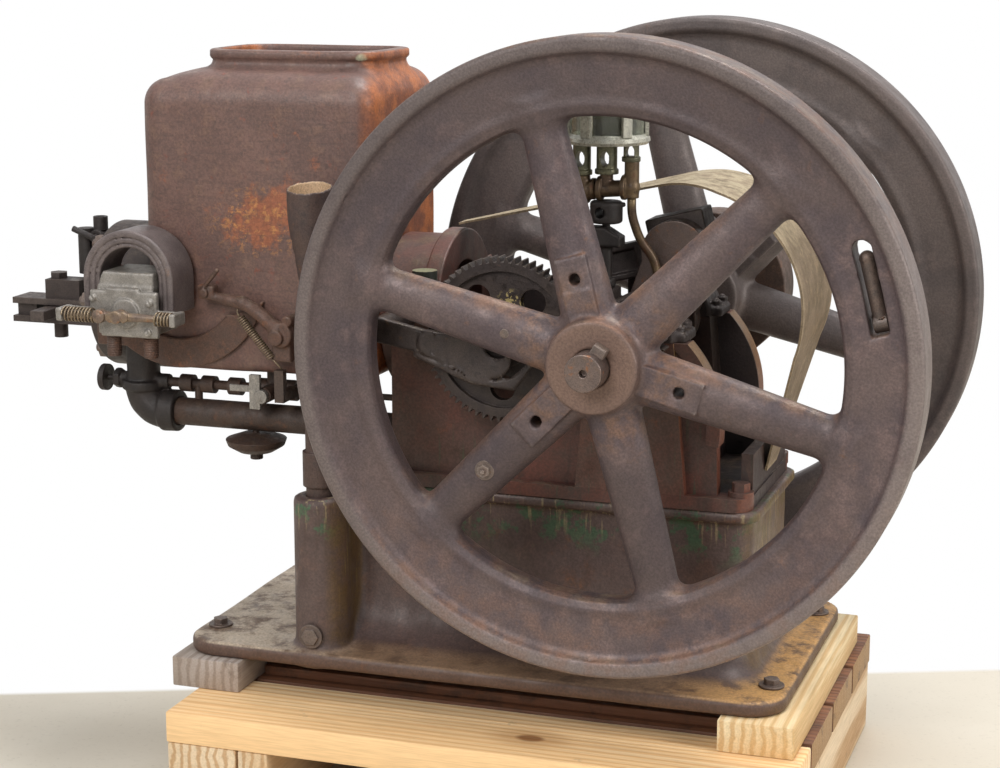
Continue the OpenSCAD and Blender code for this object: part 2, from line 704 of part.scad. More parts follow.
module oil_feeds() {
    color("darkgoldenrod") engine() translate([0, oil_y, 0]) {
        for (i = [-1:1]) translate([oil_x + i * 30, 0, header_z]) {
            translate([0, 0, 18]) cylinder(h = oiler_z - header_z - 18 - seat, r = 9);
            cylinder(h = 20, r = 6);
        }
        translate([0, 0, header_z]) xbar(oil_x - 44, oil_x + 44, 10);
        tube([[oil_x + 38, 0, header_z], [oil_x + 48, 14, header_z - 14], [oil_x + 58, 18, 2 * cap_top],
            [oil_x + 60, 18, cap_top - 1.7]], 4);
    }
}
module oil_valve() {
    color("black") engine() translate([oil_x, oil_y, 0]) {
        translate([0, 0, cap_top]) cylinder(h = header_z - 10 - cap_top - seat, r = 6);
        translate([0, 0, cap_top]) cylinder(h = 10, r = 10);
        translate([0, 0, header_z - 74]) sphere(16);
        translate([0, 0, header_z - 38]) cylinder(h = 16, r = 14);
    }
}
module rocker_bracket() {
    face = hopper_x0 - head_t - 14 - seat;
    color("dimgray") engine() translate([rocker_x, rocker_y, rocker_z]) {
        for (z = [-16, 8]) box(-58, face - rocker_x, -22, 22, z, z + 8);
        box(face - rocker_x - 22, face - rocker_x, -22, 22, -16, 16);
        box(-55, -27, -14, 14, -9, 9);
        box(-12, 38, -16, 16, 15, 41);
        translate([0, 0, -30]) cylinder(h = 60, r = 8);
        translate([0, 0, 41]) hexagon(12, 8);
        translate([0, 0, -37]) cylinder(h = 22, r = 9);
    }
}
module rocker_arm() {
    color("dimgray") engine() translate([rocker_x, rocker_y, rocker_z]) difference() {
        union() {
            box(-12, 12, 0, push_y + 10 - rocker_y, -7, 7);
            translate([0, 0, -7.5]) cylinder(h = 15, r = 20);
            box(-10, 10, -60, 0, -6.5, 6.5);
        }
        translate([0, 0, -40]) cylinder(h = 80, r = 8 + run_fit);
    }
}
module pushrod() {
    color("dimgray") engine() translate([0, push_y, rocker_z]) xbar(rocker_x + 12.5, -250, push_r);
}
module priming_cup() {
    color("darkslategray") engine() translate([cup_x, 0, cup_z]) difference() {
        union() {
            xbar(-14, 53, 7 - fit);
            cylinder(h = 26, r = 7.5);
            translate([0, 0, 8]) cylinder(h = 18, r = 9.5);
            ybar(-14, 14, 9);
            translate([-21.5, 0, -50]) cylinder(h = 60, r = 11);
        }
        translate([0, 0, 14]) cylinder(h = 20, r = 6);
        ybar(-15, 15, 4 + run_fit);
    }
}
module priming_handle() {
    color("darkslategray") engine() translate([cup_x, 0, cup_z]) {
        ybar(-24, 16, 4);
        bar([0, -21, 0], [-29, -21, 11], 4);
    }
}

// ---- intake
module intake_elbow() {
    color("darkslategray") engine() difference() {
        union() {
            translate([elbow_x, intake_y, intake_z]) {
                translate([0, 0, bend - 2]) cylinder(h = 12, r = 28);
                translate([0, 0, bend]) cylinder(h = mag_foot_z - seat - intake_z - bend, r = 21.5);
                translate([bend, 0, bend]) rotate([90, 0, 0]) rotate([0, 0, 180])
                    rotate_extrude(angle = 90) translate([bend, 0]) circle(24);
                translate([bend - 2, 0, 0]) rotate([0, 90, 0]) cylinder(h = 24, r = 27);
            }
            translate([0, intake_y, needle_z]) xbar(elbow_x - 40, elbow_x + 38, 9);
        }
        translate([elbow_x + bend + 2, intake_y, intake_z]) xbar(0, 30, intake_r + fit);
        translate([0, intake_y, needle_z]) xbar(elbow_x - 60, elbow_x - 6, 3.5 + run_fit);
        translate([0, intake_y, needle_z]) xbar(elbow_x + 26, elbow_x + 60, 6 + fit);
        xbar(hopper_x0 - head_t - 20, hopper_x0 + 20, head_r + fit);
    }
}
module intake_pipe() {
    color("sienna") engine() difference() {
        translate([0, intake_y, intake_z]) xbar(elbow_x + bend + 2 + seat, case_x0 + 8 - seat, intake_r);
        translate([0, intake_y, intake_z]) xbar(elbow_x + bend, case_x0 - 8, intake_r - 3);
        translate([air_x, intake_y, intake_z - 40]) cylinder(h = 30, r = 4 + run_fit);
    }
}
module air_valve() {
    color("saddlebrown") engine() translate([air_x, intake_y, intake_z]) {
        translate([0, 0, -50]) cylinder(h = 38, r = 4);
        translate([0, 0, -36]) cylinder(h = 8, r1 = air_r - 3, r2 = air_r);
        translate([0, 0, -28]) cylinder(h = 8, r1 = air_r, r2 = 16);
        translate([0, 0, -44]) cylinder(h = 8, r1 = 22, r2 = air_r - 3);
        translate([0, 0, -54]) cylinder(h = 10, r = 8);
    }
}
module needle_valve() {
    color("black") engine() translate([0, intake_y, needle_z]) {
        xbar(elbow_x - 57, elbow_x - 8, 3.5);
        xbar(elbow_x - 58, elbow_x - 50, 17);
    }
}
module fuel_line() {
    color("saddlebrown") engine() translate([0, intake_y, needle_z]) difference() {
        union() {
            xbar(elbow_x + 26 + seat, cock_x, 6);
            for (x = [elbow_x + 54, elbow_x + 84, cock_x - 64]) xbar(x, x + 17, 11);
            xbar(cock_x - 24, cock_x + 28, 13);
            translate([cock_x, 0, 0]) cylinder(h = hopper_z0 - needle_z - 0.5, r = 12);
            translate([cock_x, 0, 0]) ybar(-cock_front - intake_y, 16, 10);
            // lug that holds the foot of the trip spring
            translate([cock_x, 0, 0]) {
                box(22, 34, trip_y - intake_y, -2, -4, 8);
                box(22, 34, trip_y - intake_y, trip_y - intake_y + 10, 7, 36);
            }
            translate([cock_x + 24, 0, 0]) xbar(0, case_x0 - cock_x - 16 - seat, 4);
            translate([elbow_x + 77, 0, 0]) mirror([0, 0, 1]) cylinder(h = 22 - seat - 2.5, r = 5);
        }
        translate([cock_x, 0, 0]) ybar(-cock_front - intake_y - 5, 20, 5 + run_fit);
    }
}
module fuel_lever() {
    front = -cock_front - intake_y;
    color("darkgray") engine() translate([cock_x, intake_y, needle_z]) {
        ybar(front - 8, 18, 5);
        ybar(front - 9, front - 1.5, 8.5);
        box(-15, -1, front - 8, front - 2, -16, 27);
        box(-42, -2, front - 7, front - 3, 5, 13);
    }
}

// ---- magneto and trip
module magneto_bracket() {
    color("dimgray") engine() difference() {
        union() {
            box(mag_x - 78, hopper_x0 - 3, mag_y1 + seat, intake_y + 40, mag_foot_z, mag_z + 42);
            plate_y(mag_y1 + seat, -hopper_w / 2 - seat) translate([mag_x + 35, mag_z + 45]) intersection() {
                difference() { circle(122); circle(84); }
                polygon([[0, 0], [-130, -75], [-130, -130], [130, -130], [130, -100]]);
            }
        }
        xbar(hopper_x0 - head_t - 20, hopper_x0 + 20, head_r + 2 * fit);
    }
}
module magnet_arch(w, t, y0, y1) {
    r = w / 2;
    plate_y(y0, y1) translate([mag_x, mag_z + magnet_top]) difference() {
        union() {
            intersection() {
                circle(r);
                translate([-w, -eps]) square([2 * w, 2 * w]);
            }
            translate([-r, -magnet_top]) square([w, magnet_top]);
        }
        circle(r - t);
        translate([t - r, -magnet_top - eps]) square([w - 2 * t, magnet_top + eps]);
    }
}
module magnets() {
    t = (magnet_w - magnet_gap) / 4;
    color("dimgray") engine() {
        magnet_arch(magnet_w, t - seat, mag_y0 + 14, mag_y1);
        magnet_arch(magnet_w - 2 * t, t, mag_y0 + 14, mag_y1);
    }
}
module magneto_housing() {
    in_w = magnet_gap / 2 - seat;
    color("silver") engine() translate([mag_x, mag_y0, mag_z]) difference() {
        union() {
            box(-45, 46, 0, 8, -28, 32);
            box(-in_w, in_w, 8 - eps, mag_y1 - mag_y0, -26, 36);
            box(-33, 33, 8 - eps, mag_y1 - mag_y0, 35, 52);
            ybar(-4, 1, 18);
            for (x = [-24, 26]) translate([x, 20, -42]) cylinder(h = 17, r = 9);
            // posts that hold the springs' outer ends
            for (s = [0, 1]) mirror([s, 0, 0]) {
                box(40, post_x + 4, 2, 7, -6, 6);
                box(post_x - 4, post_x + 4, -22, 6, -8, 8);
            }
        }
        ybar(-20, 90, 8 + run_fit);
    }
}
module magneto_rotor() {
    color("gray") engine() translate([mag_x, mag_y0, mag_z]) {
        ybar(-22, 60, 8);
        plate_y(-18, -8) polygon([[-horn_left, -2.5], [-20, -9], [20, -9], [horn_right, -2.5], [horn_right, 2.5],
            [20, 12], [-20, 12], [-horn_left, 2.5]]);
    }
}
module magneto_springs() {
    color("darkkhaki") engine() translate([mag_x, mag_y0 - 13, mag_z]) {
        translate([-horn_left - 0.3, 0, 0]) rotate([0, -90, 0]) spring(7.6, 1.4, post_x - 4 - horn_left - 0.6, 8);
        translate([horn_right + 0.3, 0, 0]) rotate([0, 90, 0]) spring(7.6, 1.4, post_x - 4 - horn_right - 0.6, 5);
    }
}
module trip_arm() {
    color("saddlebrown") engine() translate([trip_x, trip_y, trip_z]) {
        ybar(-8, -hopper_w / 2 - trip_y - seat, 16);
        // cranked arm
        p = [[0, 0], [-25, 28.6], [-67, 37], [-95, 45]];
        plate_y(-trip_half, trip_half) for (i = [0:2]) {
            d = p[i + 1] - p[i];
            translate(p[i]) rotate(atan2(d[1], d[0])) translate([0, -trip_half]) square([norm(d), 2 * trip_half]);
            translate(p[i + 1]) circle(trip_knee);
        }
        translate([-100, 0, 47]) ybar(-12, 11, 11);
        bar([-100, -6, 47], [-79, -6, 69], 3);
        translate([0, 6, 19]) xbar(-8, 103, 4);
    }
}
module trip_spring() {
    p = [trip_x - 57, trip_y, trip_z + 18];
    q = [cock_x + 31, trip_y + 5, needle_z + 40];
    d = q - p;
    color("darkkhaki") engine() translate(p) rotate([0, acos(d[2] / norm(d)), atan2(d[1], d[0])])
        spring(4, 1.2, norm(d), 14);
}

pallet_stringers();
pallet_deck();
bearers();
base_casting();
base_bolts();
filler_pipe();
crankcase_floor();
crankcase_near();
crankcase_far();
cylinder_body();  // cylinder
water_hopper();
cylinder_head();
head_nuts();
piston();
crankshaft();
crank_pinion();
flywheel_near();
flywheel_far();
belt_pulley();
starting_handle();
connecting_rod();
timing_gear();
cam_lever();
bearing_caps();
crank_guard();
oiler();
oil_feeds();
oil_valve();
rocker_bracket();
rocker_arm();
pushrod();
priming_cup();
priming_handle();
intake_elbow();
intake_pipe();
air_valve();
needle_valve();
fuel_line();
fuel_lever();
magneto_bracket();
magnets();
magneto_housing();
magneto_rotor();
magneto_springs();
trip_arm();
trip_spring();
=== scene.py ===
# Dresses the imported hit-and-miss engine: cast shapes, wood, springs and finishes round the fixed frame.
# Everything is in metres; places on the engine are given in millimetres from the crankshaft's centre.
import json
import math
import bmesh
import bpy
import numpy as np
from mathutils import Matrix, Vector, noise


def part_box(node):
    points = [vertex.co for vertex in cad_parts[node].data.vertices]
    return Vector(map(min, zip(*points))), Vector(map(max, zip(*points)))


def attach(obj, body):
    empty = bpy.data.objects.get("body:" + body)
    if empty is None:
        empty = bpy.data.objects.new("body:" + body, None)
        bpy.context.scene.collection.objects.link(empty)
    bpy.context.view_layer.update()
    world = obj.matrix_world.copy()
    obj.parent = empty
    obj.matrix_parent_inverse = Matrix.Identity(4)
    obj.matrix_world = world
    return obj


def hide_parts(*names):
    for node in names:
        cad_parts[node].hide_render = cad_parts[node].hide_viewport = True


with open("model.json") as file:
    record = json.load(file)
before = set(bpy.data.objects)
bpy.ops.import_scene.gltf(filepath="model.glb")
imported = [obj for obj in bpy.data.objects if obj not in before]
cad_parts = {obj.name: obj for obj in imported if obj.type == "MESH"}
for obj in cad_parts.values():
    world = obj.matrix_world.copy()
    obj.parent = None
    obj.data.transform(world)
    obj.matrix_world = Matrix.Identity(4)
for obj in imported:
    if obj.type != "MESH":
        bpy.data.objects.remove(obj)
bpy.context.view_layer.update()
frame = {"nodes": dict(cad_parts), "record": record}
nodes = frame["nodes"]
bodyOf = {node: body for body, members in frame["record"]["behaviour"]["bodies"].items() for node in members}
wheelLow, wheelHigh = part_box("flywheel_near")
crank = Vector(((wheelLow.x + wheelHigh.x) / 2, 0, (wheelLow.z + wheelHigh.z) / 2))
mm = 0.001
# edges sharper than the first are rounded and than the second stay crisp
sharpAngle, creaseAngle = math.radians(32), math.radians(35)
# points closer than this, and faces flatter than this to each other, become one
weldReach, flatAngle = 2e-5, math.radians(0.6)


def at(x, y, z):
    return crank + Vector((x, y, z)) * mm


# node helpers


def linearColour(code):
    parts = [int(code[i:i + 2], 16) / 255 for i in (1, 3, 5)]
    return [*(c / 12.92 if c < 0.04045 else ((c + 0.055) / 1.055) ** 2.4 for c in parts), 1]


def addNode(tree, kind, settings=None, inputs=None):
    # settings are the node's own values, inputs are numbers, colours or sockets to link
    node = tree.nodes.new(kind)
    for key, value in (settings or {}).items():
        setattr(node, key, value)
    for key, value in (inputs or {}).items():
        if isinstance(value, bpy.types.NodeSocket):
            tree.links.new(value, node.inputs[key])
        else:
            node.inputs[key].default_value = value
    return node


def mixColours(tree, amount, first, second, blend="MIX"):
    node = addNode(tree, "ShaderNodeMix", {"data_type": "RGBA", "blend_type": blend})
    for slot, value in ((0, amount), (6, first), (7, second)):
        if isinstance(value, bpy.types.NodeSocket):
            tree.links.new(value, node.inputs[slot])
        else:
            node.inputs[slot].default_value = linearColour(value) if isinstance(value, str) else value
    return node.outputs[2]


def calculate(tree, operation, *values, clamp=False):
    node = addNode(tree, "ShaderNodeMath", {"operation": operation, "use_clamp": clamp})
    for slot, value in enumerate(values):
        if isinstance(value, bpy.types.NodeSocket):
            tree.links.new(value, node.inputs[slot])
        else:
            node.inputs[slot].default_value = value
    return node.outputs[0]


def noiseAt(tree, place, size, detail=4, roughness=0.55, stretch=(1, 1, 1), seed=0, distortion=0):
    # size is the pattern's grain in metres, stretch draws it out along an axis
    moved = addNode(tree, "ShaderNodeMapping", {}, {
        "Vector": place, "Scale": stretch, "Location": (seed, seed * 0.7, -seed)})
    return addNode(tree, "ShaderNodeTexNoise", {}, {
        "Vector": moved.outputs[0], "Scale": 1 / size, "Detail": detail, "Roughness": roughness,
        "Distortion": distortion}).outputs[0]


def between(tree, value, low, high, out0=0, out1=1):
    return addNode(tree, "ShaderNodeMapRange", {"clamp": True, "interpolation_type": "SMOOTHSTEP"}, {
        "Value": value, "From Min": low, "From Max": high, "To Min": out0, "To Max": out1}).outputs[0]


def newMaterial(name):
    material = bpy.data.materials.new(name)
    material.use_nodes = True
    tree = material.node_tree
    tree.nodes.clear()
    shader = addNode(tree, "ShaderNodeBsdfPrincipled")
    addNode(tree, "ShaderNodeOutputMaterial", {}, {"Surface": shader.outputs[0]})
    place = addNode(tree, "ShaderNodeTexCoord").outputs["Object"]
    return material, tree, shader, place


def bump(tree, shader, height, distance, strength=1.0, under=None):
    node = addNode(tree, "ShaderNodeBump", {}, {"Height": height, "Distance": distance, "Strength": strength})
    if under:
        tree.links.new(under, node.inputs["Normal"])
    tree.links.new(node.outputs[0], shader.inputs["Normal"])
    return node.outputs[0]

# shapes; the distances are in millimetres and below zero inside


def newPiece(name, mesh, body, slotName, *materials, stands=()):
    piece = bpy.data.objects.new(name, mesh)
    bpy.context.scene.collection.objects.link(piece)
    numbers = [polygon.material_index for polygon in mesh.polygons]
    mesh.materials.clear()
    for material in materials:
        mesh.materials.append(material)
    mesh.polygons.foreach_set("material_index", numbers)
    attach(piece, body)
    if stands:
        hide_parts(*stands)
    return piece


def slotOf(node):
    return next(part["material_slot"] for part in frame["record"]["subparts"] if part["node"] == node)


def meshFrom(name, points, faces, smooth=True):
    mesh = bpy.data.meshes.new(name)
    mesh.from_pydata(points.tolist() if isinstance(points, np.ndarray) else points, [], faces)
    mesh.update()
    if smooth:
        mesh.shade_smooth()
    return mesh


def baked(holder):
    # the mesh that the holder's modifiers make, free of modifiers
    bpy.context.view_layer.update()
    made = bpy.data.meshes.new_from_object(holder.evaluated_get(bpy.context.evaluated_depsgraph_get()))
    bpy.data.objects.remove(holder)
    return made


def dress(node, material, bevel, clamp):
    # a copy of a rigid solid with its machined or cast edges rounded
    grown = bmesh.new()
    grown.from_mesh(nodes[node].data)
    bmesh.ops.remove_doubles(grown, verts=grown.verts, dist=weldReach)
    bmesh.ops.dissolve_limit(grown, angle_limit=flatAngle, verts=grown.verts, edges=grown.edges)
    bmesh.ops.recalc_face_normals(grown, faces=grown.faces)
    mesh = bpy.data.meshes.new(node + "Shape")
    grown.to_mesh(mesh)
    grown.free()
    holder = bpy.data.objects.new(node + "Holder", mesh)
    bpy.context.scene.collection.objects.link(holder)
    rounding = holder.modifiers.new("rounding", "BEVEL")
    rounding.width, rounding.segments = bevel * mm, 2
    rounding.limit_method, rounding.angle_limit = "ANGLE", sharpAngle
    rounding.use_clamp_overlap = clamp
    weighted = holder.modifiers.new("weighted", "WEIGHTED_NORMAL")
    weighted.keep_sharp = False
    mesh.shade_smooth()
    return newPiece(node + "Dressed", baked(holder), bodyOf[node], slotOf(node), material, stands=(node,))


def smoothMin(first, second, reach):
    share = np.clip(0.5 + 0.5 * (second - first) / reach, 0, 1)
    return second + (first - second) * share - reach * share * (1 - share)


def roundBox(x, y, z, half, corner):
    q = [np.abs(value) - size + corner for value, size in zip((x, y, z), half)]
    outside = np.sqrt(sum(np.maximum(value, 0) ** 2 for value in q))
    return outside + np.minimum(np.maximum(np.maximum(q[0], q[1]), q[2]), 0) - corner


def roundSquare(x, y, halfX, halfY, corner):
    qx, qy = np.abs(x) - halfX + corner, np.abs(y) - halfY + corner
    return np.hypot(np.maximum(qx, 0), np.maximum(qy, 0)) + np.minimum(np.maximum(qx, qy), 0) - corner


def raised(flat, height, corner):
    # a flat distance made thick, with round edges
    a, b = flat + corner, height + corner
    return np.hypot(np.maximum(a, 0), np.maximum(b, 0)) + np.minimum(np.maximum(a, b), 0) - corner


def pin(p, axis, centre, radius, low, high, corner=1.0):
    i, j, k = {"x": (1, 2, 0), "y": (0, 2, 1), "z": (0, 1, 2)}[axis]
    return raised(np.hypot(p[:, i] - centre[0], p[:, j] - centre[1]) - radius,
                  np.abs(p[:, k] - (low + high) / 2) - (high - low) / 2, corner)


def hexPin(p, axis, centre, across, low, high, corner=0.8, turn=0):
    i, j, k = {"x": (1, 2, 0), "y": (0, 2, 1), "z": (0, 1, 2)}[axis]
    flats = [np.abs((p[:, i] - centre[0]) * math.cos(turn + a) + (p[:, j] - centre[1]) * math.sin(turn + a))
             for a in (0, math.pi / 3, 2 * math.pi / 3)]
    return raised(np.max(flats, 0) - across / 2, np.abs(p[:, k] - (low + high) / 2) - (high - low) / 2,
                  corner)


def slab(p, low, high, corner=1.0):
    low, high = np.array(low, float), np.array(high, float)
    return roundBox(*(p - (low + high) / 2).T, (high - low) / 2, corner)


def limb(p, start, end, r0, r1=None):
    start, end = np.array(start, float), np.array(end, float)
    share = np.clip((p - start) @ (end - start) / ((end - start) ** 2).sum(), 0, 1)
    away = np.linalg.norm(p - start - share[:, None] * (end - start), axis=1)
    return away - (r0 + ((r1 or r0) - r0) * share)


def blend(reach, *fields):
    whole = fields[0]
    for extra in fields[1:]:
        whole = smoothMin(whole, extra, reach)
    return whole


def cast(name, node, field, low, high, step, material, stands=True):
    # a casting in the place of one node, on an even grid between two corners
    mesh = castMesh(name, field, [np.arange(a, b + step, step) for a, b in zip(low, high)])
    return newPiece(name, mesh, bodyOf[node], slotOf(node), material, stands=(node,) if stands else ())


def castMesh(name, field, axes, place=None, closed=False):
    # Finds the surface where field is zero on a grid and pulls its points onto it. place turns grid
    # coordinates into millimetres, closed joins the second axis's ends.
    place = place or (lambda grid: grid)
    grid = np.stack(np.meshgrid(*axes, indexing="ij"), -1)
    spots = place(grid.reshape(-1, 3)).reshape(grid.shape)
    value = field(spots.reshape(-1, 3)).reshape(grid.shape[:3])
    cells = tuple(size - 1 for size in value.shape)
    total, count = np.zeros((*cells, 3)), np.zeros(cells)
    crossings = []
    for axis in range(3):
        low = tuple(slice(0, -1) if a == axis else slice(None) for a in range(3))
        high = tuple(slice(1, None) if a == axis else slice(None) for a in range(3))
        first, second = value[low], value[high]
        crossed = (first < 0) != (second < 0)
        share = np.where(crossed, first / np.where(crossed, first - second, 1), 0)[..., None]
        spot = spots[low] + share * (spots[high] - spots[low])
        crossings.append((crossed, first < 0))
        one, two = [a for a in range(3) if a != axis]
        for i in (0, 1):
            for j in (0, 1):
                cut = [slice(None)] * 3
                cut[one] = slice(i, i + cells[one])
                cut[two] = slice(j, j + cells[two])
                cut = tuple(cut)
                total += np.where(crossed[cut][..., None], spot[cut], 0)
                count += crossed[cut]
    used = count > 0
    number = np.cumsum(used.ravel()).reshape(cells) - 1
    points = total[used] / count[used][:, None]
    for step in range(3):
        here = field(points)
        slope = np.stack([field(points + shift) - here for shift in np.eye(3) * 0.05], -1) / 0.05
        points = points - (np.clip(here, -1, 1) / np.maximum((slope ** 2).sum(1), 0.2))[:, None] * slope
    faces = []
    for axis, (crossed, inward) in enumerate(crossings):
        one, two = [(axis + 1) % 3, (axis + 2) % 3]
        spot = np.argwhere(crossed)
        sides = inward[crossed]
        corners = []
        for i, j in ((-1, -1), (0, -1), (0, 0), (-1, 0)):
            cell = spot.copy()
            cell[:, one] += i
            cell[:, two] += j
            if closed:
                cell[:, 1] %= cells[1]
            corners.append(cell)
        corners = np.stack(corners, 1)
        keep = np.ones(len(spot), bool)
        if closed and axis != 1:
            keep &= spot[:, 1] < cells[1]
        keep &= ((corners >= 0) & (corners < np.array(cells))).all((1, 2))
        quads = number[tuple(corners[keep].reshape(-1, 3).T)].reshape(-1, 4)
        sides = sides[keep]
        quads[~sides] = quads[~sides][:, ::-1]
        faces.append(quads)
    faces = np.concatenate(faces)
    points = np.array(crank) + points * mm
    a, b, c, d = (points[faces[:, i]] for i in range(4))
    if np.einsum("ij,ij->i", a, np.cross(b, c)).sum() + np.einsum("ij,ij->i", a, np.cross(c, d)).sum() < 0:
        faces = faces[:, ::-1]
    return meshFrom(name, points, faces.tolist())


def turned(name, outline, centre, axis="z", sides=48):
    # a lathe shape from (radius, height) in millimetres, closed where the outline starts and ends on the axis
    outline = [tuple(p) for p in outline]
    points, faces = [], []
    for radius, height in outline:
        for k in range(sides):
            turn = 2 * math.pi * k / sides
            u, v = radius * math.cos(turn), radius * math.sin(turn)
            spot = {"z": (u, v, height), "x": (height, u, v), "y": (v, height, u)}[axis]
            points.append(at(*(c + s for c, s in zip(centre, spot))))
    for ring in range(len(outline) - 1):
        for k in range(sides):
            n = (k + 1) % sides
            faces.append((ring * sides + k, ring * sides + n, (ring + 1) * sides + n, (ring + 1) * sides + k))
    shape = bmesh.new()
    mesh = meshFrom(name, points, faces)
    shape.from_mesh(mesh)
    bmesh.ops.remove_doubles(shape, verts=shape.verts, dist=1e-6)
    if outline[0][0] > 0.01 and outline[0] != outline[-1]:
        bmesh.ops.holes_fill(shape, edges=shape.edges)
    if outline[0] == outline[-1]:
        bmesh.ops.remove_doubles(shape, verts=shape.verts, dist=1e-6)
    bmesh.ops.recalc_face_normals(shape, faces=shape.faces)
    for edge in shape.edges:
        if len(edge.link_faces) == 2 and edge.calc_face_angle() > creaseAngle:
            edge.smooth = False
    shape.to_mesh(mesh)
    shape.free()
    mesh.shade_smooth()
    return mesh


def joined(name, meshes):
    # several meshes as one, with their material numbers kept
    shape = bmesh.new()
    for mesh in meshes:
        shape.from_mesh(mesh)
    mesh = bpy.data.meshes.new(name)
    shape.to_mesh(mesh)
    shape.free()
    return mesh


def tubeAlong(name, route, radius, sides=14, corner=0):
    # a round bar through points in millimetres; corner is the bend's radius
    route = [Vector(p) for p in route]
    path = [route[0]]
    for i in range(1, len(route) - 1):
        before, here, after = route[i - 1], route[i], route[i + 1]
        reach = min(corner, (here - before).length * 0.45, (after - here).length * 0.45)
        if reach > 0:
            start = here + (before - here).normalized() * reach
            end = here + (after - here).normalized() * reach
            for t in np.linspace(0, 1, 7).tolist():
                path.append(start * (1 - t) ** 2 + here * 2 * t * (1 - t) + end * t * t)
        else:
            path.append(here)
    path.append(route[-1])
    side = None
    points, faces = [], []
    for i, spot in enumerate(path):
        along = (path[min(i + 1, len(path) - 1)] - path[max(i - 1, 0)]).normalized()
        if side is None:
            side = along.orthogonal().normalized()
        side = (side - along * side.dot(along)).normalized()
        other = along.cross(side)
        for k in range(sides):
            turn = 2 * math.pi * k / sides
            points.append(at(*(spot + (side * math.cos(turn) + other * math.sin(turn)) * radius)))
    for i in range(len(path) - 1):
        for k in range(sides):
            n = (k + 1) % sides
            faces.append((i * sides + k, i * sides + n, (i + 1) * sides + n, (i + 1) * sides + k))
    faces.append(tuple(range(sides - 1, -1, -1)))
    faces.append(tuple((len(path) - 1) * sides + k for k in range(sides)))
    return meshFrom(name, points, faces)


def block(name, low, high, bevel=1.0, turn=None):
    # a solid block between two corners with round edges
    shape = bmesh.new()
    bmesh.ops.create_cube(shape, size=1)
    low, high = Vector(low), Vector(high)
    for v in shape.verts:
        spot = Vector(((v.co[i] + 0.5) * (high[i] - low[i]) + low[i] for i in range(3)))
        v.co = at(*(turn @ spot if turn else spot))
    bmesh.ops.bevel(shape, geom=shape.edges[:], offset=bevel * mm, segments=2, affect="EDGES", profile=0.6)
    bmesh.ops.recalc_face_normals(shape, faces=shape.faces)
    mesh = bpy.data.meshes.new(name)
    shape.to_mesh(mesh)
    shape.free()
    for polygon in mesh.polygons:
        polygon.use_smooth = False
    return mesh


def growNodes(name, holderMesh, build, values, material):
    # runs a geometry nodes tree on a mesh: build adds the nodes, values are its named numbers
    tree = bpy.data.node_groups.new(name, "GeometryNodeTree")
    tree.interface.new_socket("Geometry", in_out="OUTPUT", socket_type="NodeSocketGeometry")
    tree.interface.new_socket("Geometry", in_out="INPUT", socket_type="NodeSocketGeometry")
    names = {}
    for key, value in values.items():
        kind = "NodeSocketInt" if isinstance(value, int) else "NodeSocketFloat"
        names[key] = tree.interface.new_socket(key, in_out="INPUT", socket_type=kind).identifier
    entry, leave = tree.nodes.new("NodeGroupInput"), tree.nodes.new("NodeGroupOutput")
    made = build(tree, entry)
    whole = addNode(tree, "GeometryNodeRealizeInstances", {}, {"Geometry": made})
    painted = addNode(tree, "GeometryNodeSetMaterial", {}, {"Geometry": whole.outputs[0]})
    painted.inputs["Material"].default_value = material
    tree.links.new(painted.outputs[0], leave.inputs[0])
    holder = bpy.data.objects.new(name + "Holder", holderMesh)
    bpy.context.scene.collection.objects.link(holder)
    modifier = holder.modifiers.new(name, "NODES")
    modifier.node_group = tree
    for key, value in values.items():
        modifier[names[key]] = value
    return baked(holder)

# finishes


def part(tree, place, axis):
    return addNode(tree, "ShaderNodeSeparateXYZ", {}, {0: place}).outputs["XYZ".index(axis)]


def facing(tree, axis):
    # how far the surface looks along an axis, from -1 to 1
    return part(tree, addNode(tree, "ShaderNodeTexCoord").outputs["Normal"], axis)


def times(tree, *masks):
    whole = masks[0]
    for mask in masks[1:]:
        whole = calculate(tree, "MULTIPLY", whole, mask)
    return whole


def reachFrom(tree, place, centre, counts=(1, 1, 1)):
    # distance from a point in metres; counts says how much each axis adds
    shifted = addNode(tree, "ShaderNodeVectorMath", {"operation": "SUBTRACT"}, {0: place, 1: tuple(centre)})
    scaled = addNode(tree, "ShaderNodeVectorMath", {"operation": "MULTIPLY"},
                     {0: shifted.outputs[0], 1: counts})
    return addNode(tree, "ShaderNodeVectorMath", {"operation": "LENGTH"},
                   {0: scaled.outputs[0]}).outputs["Value"]


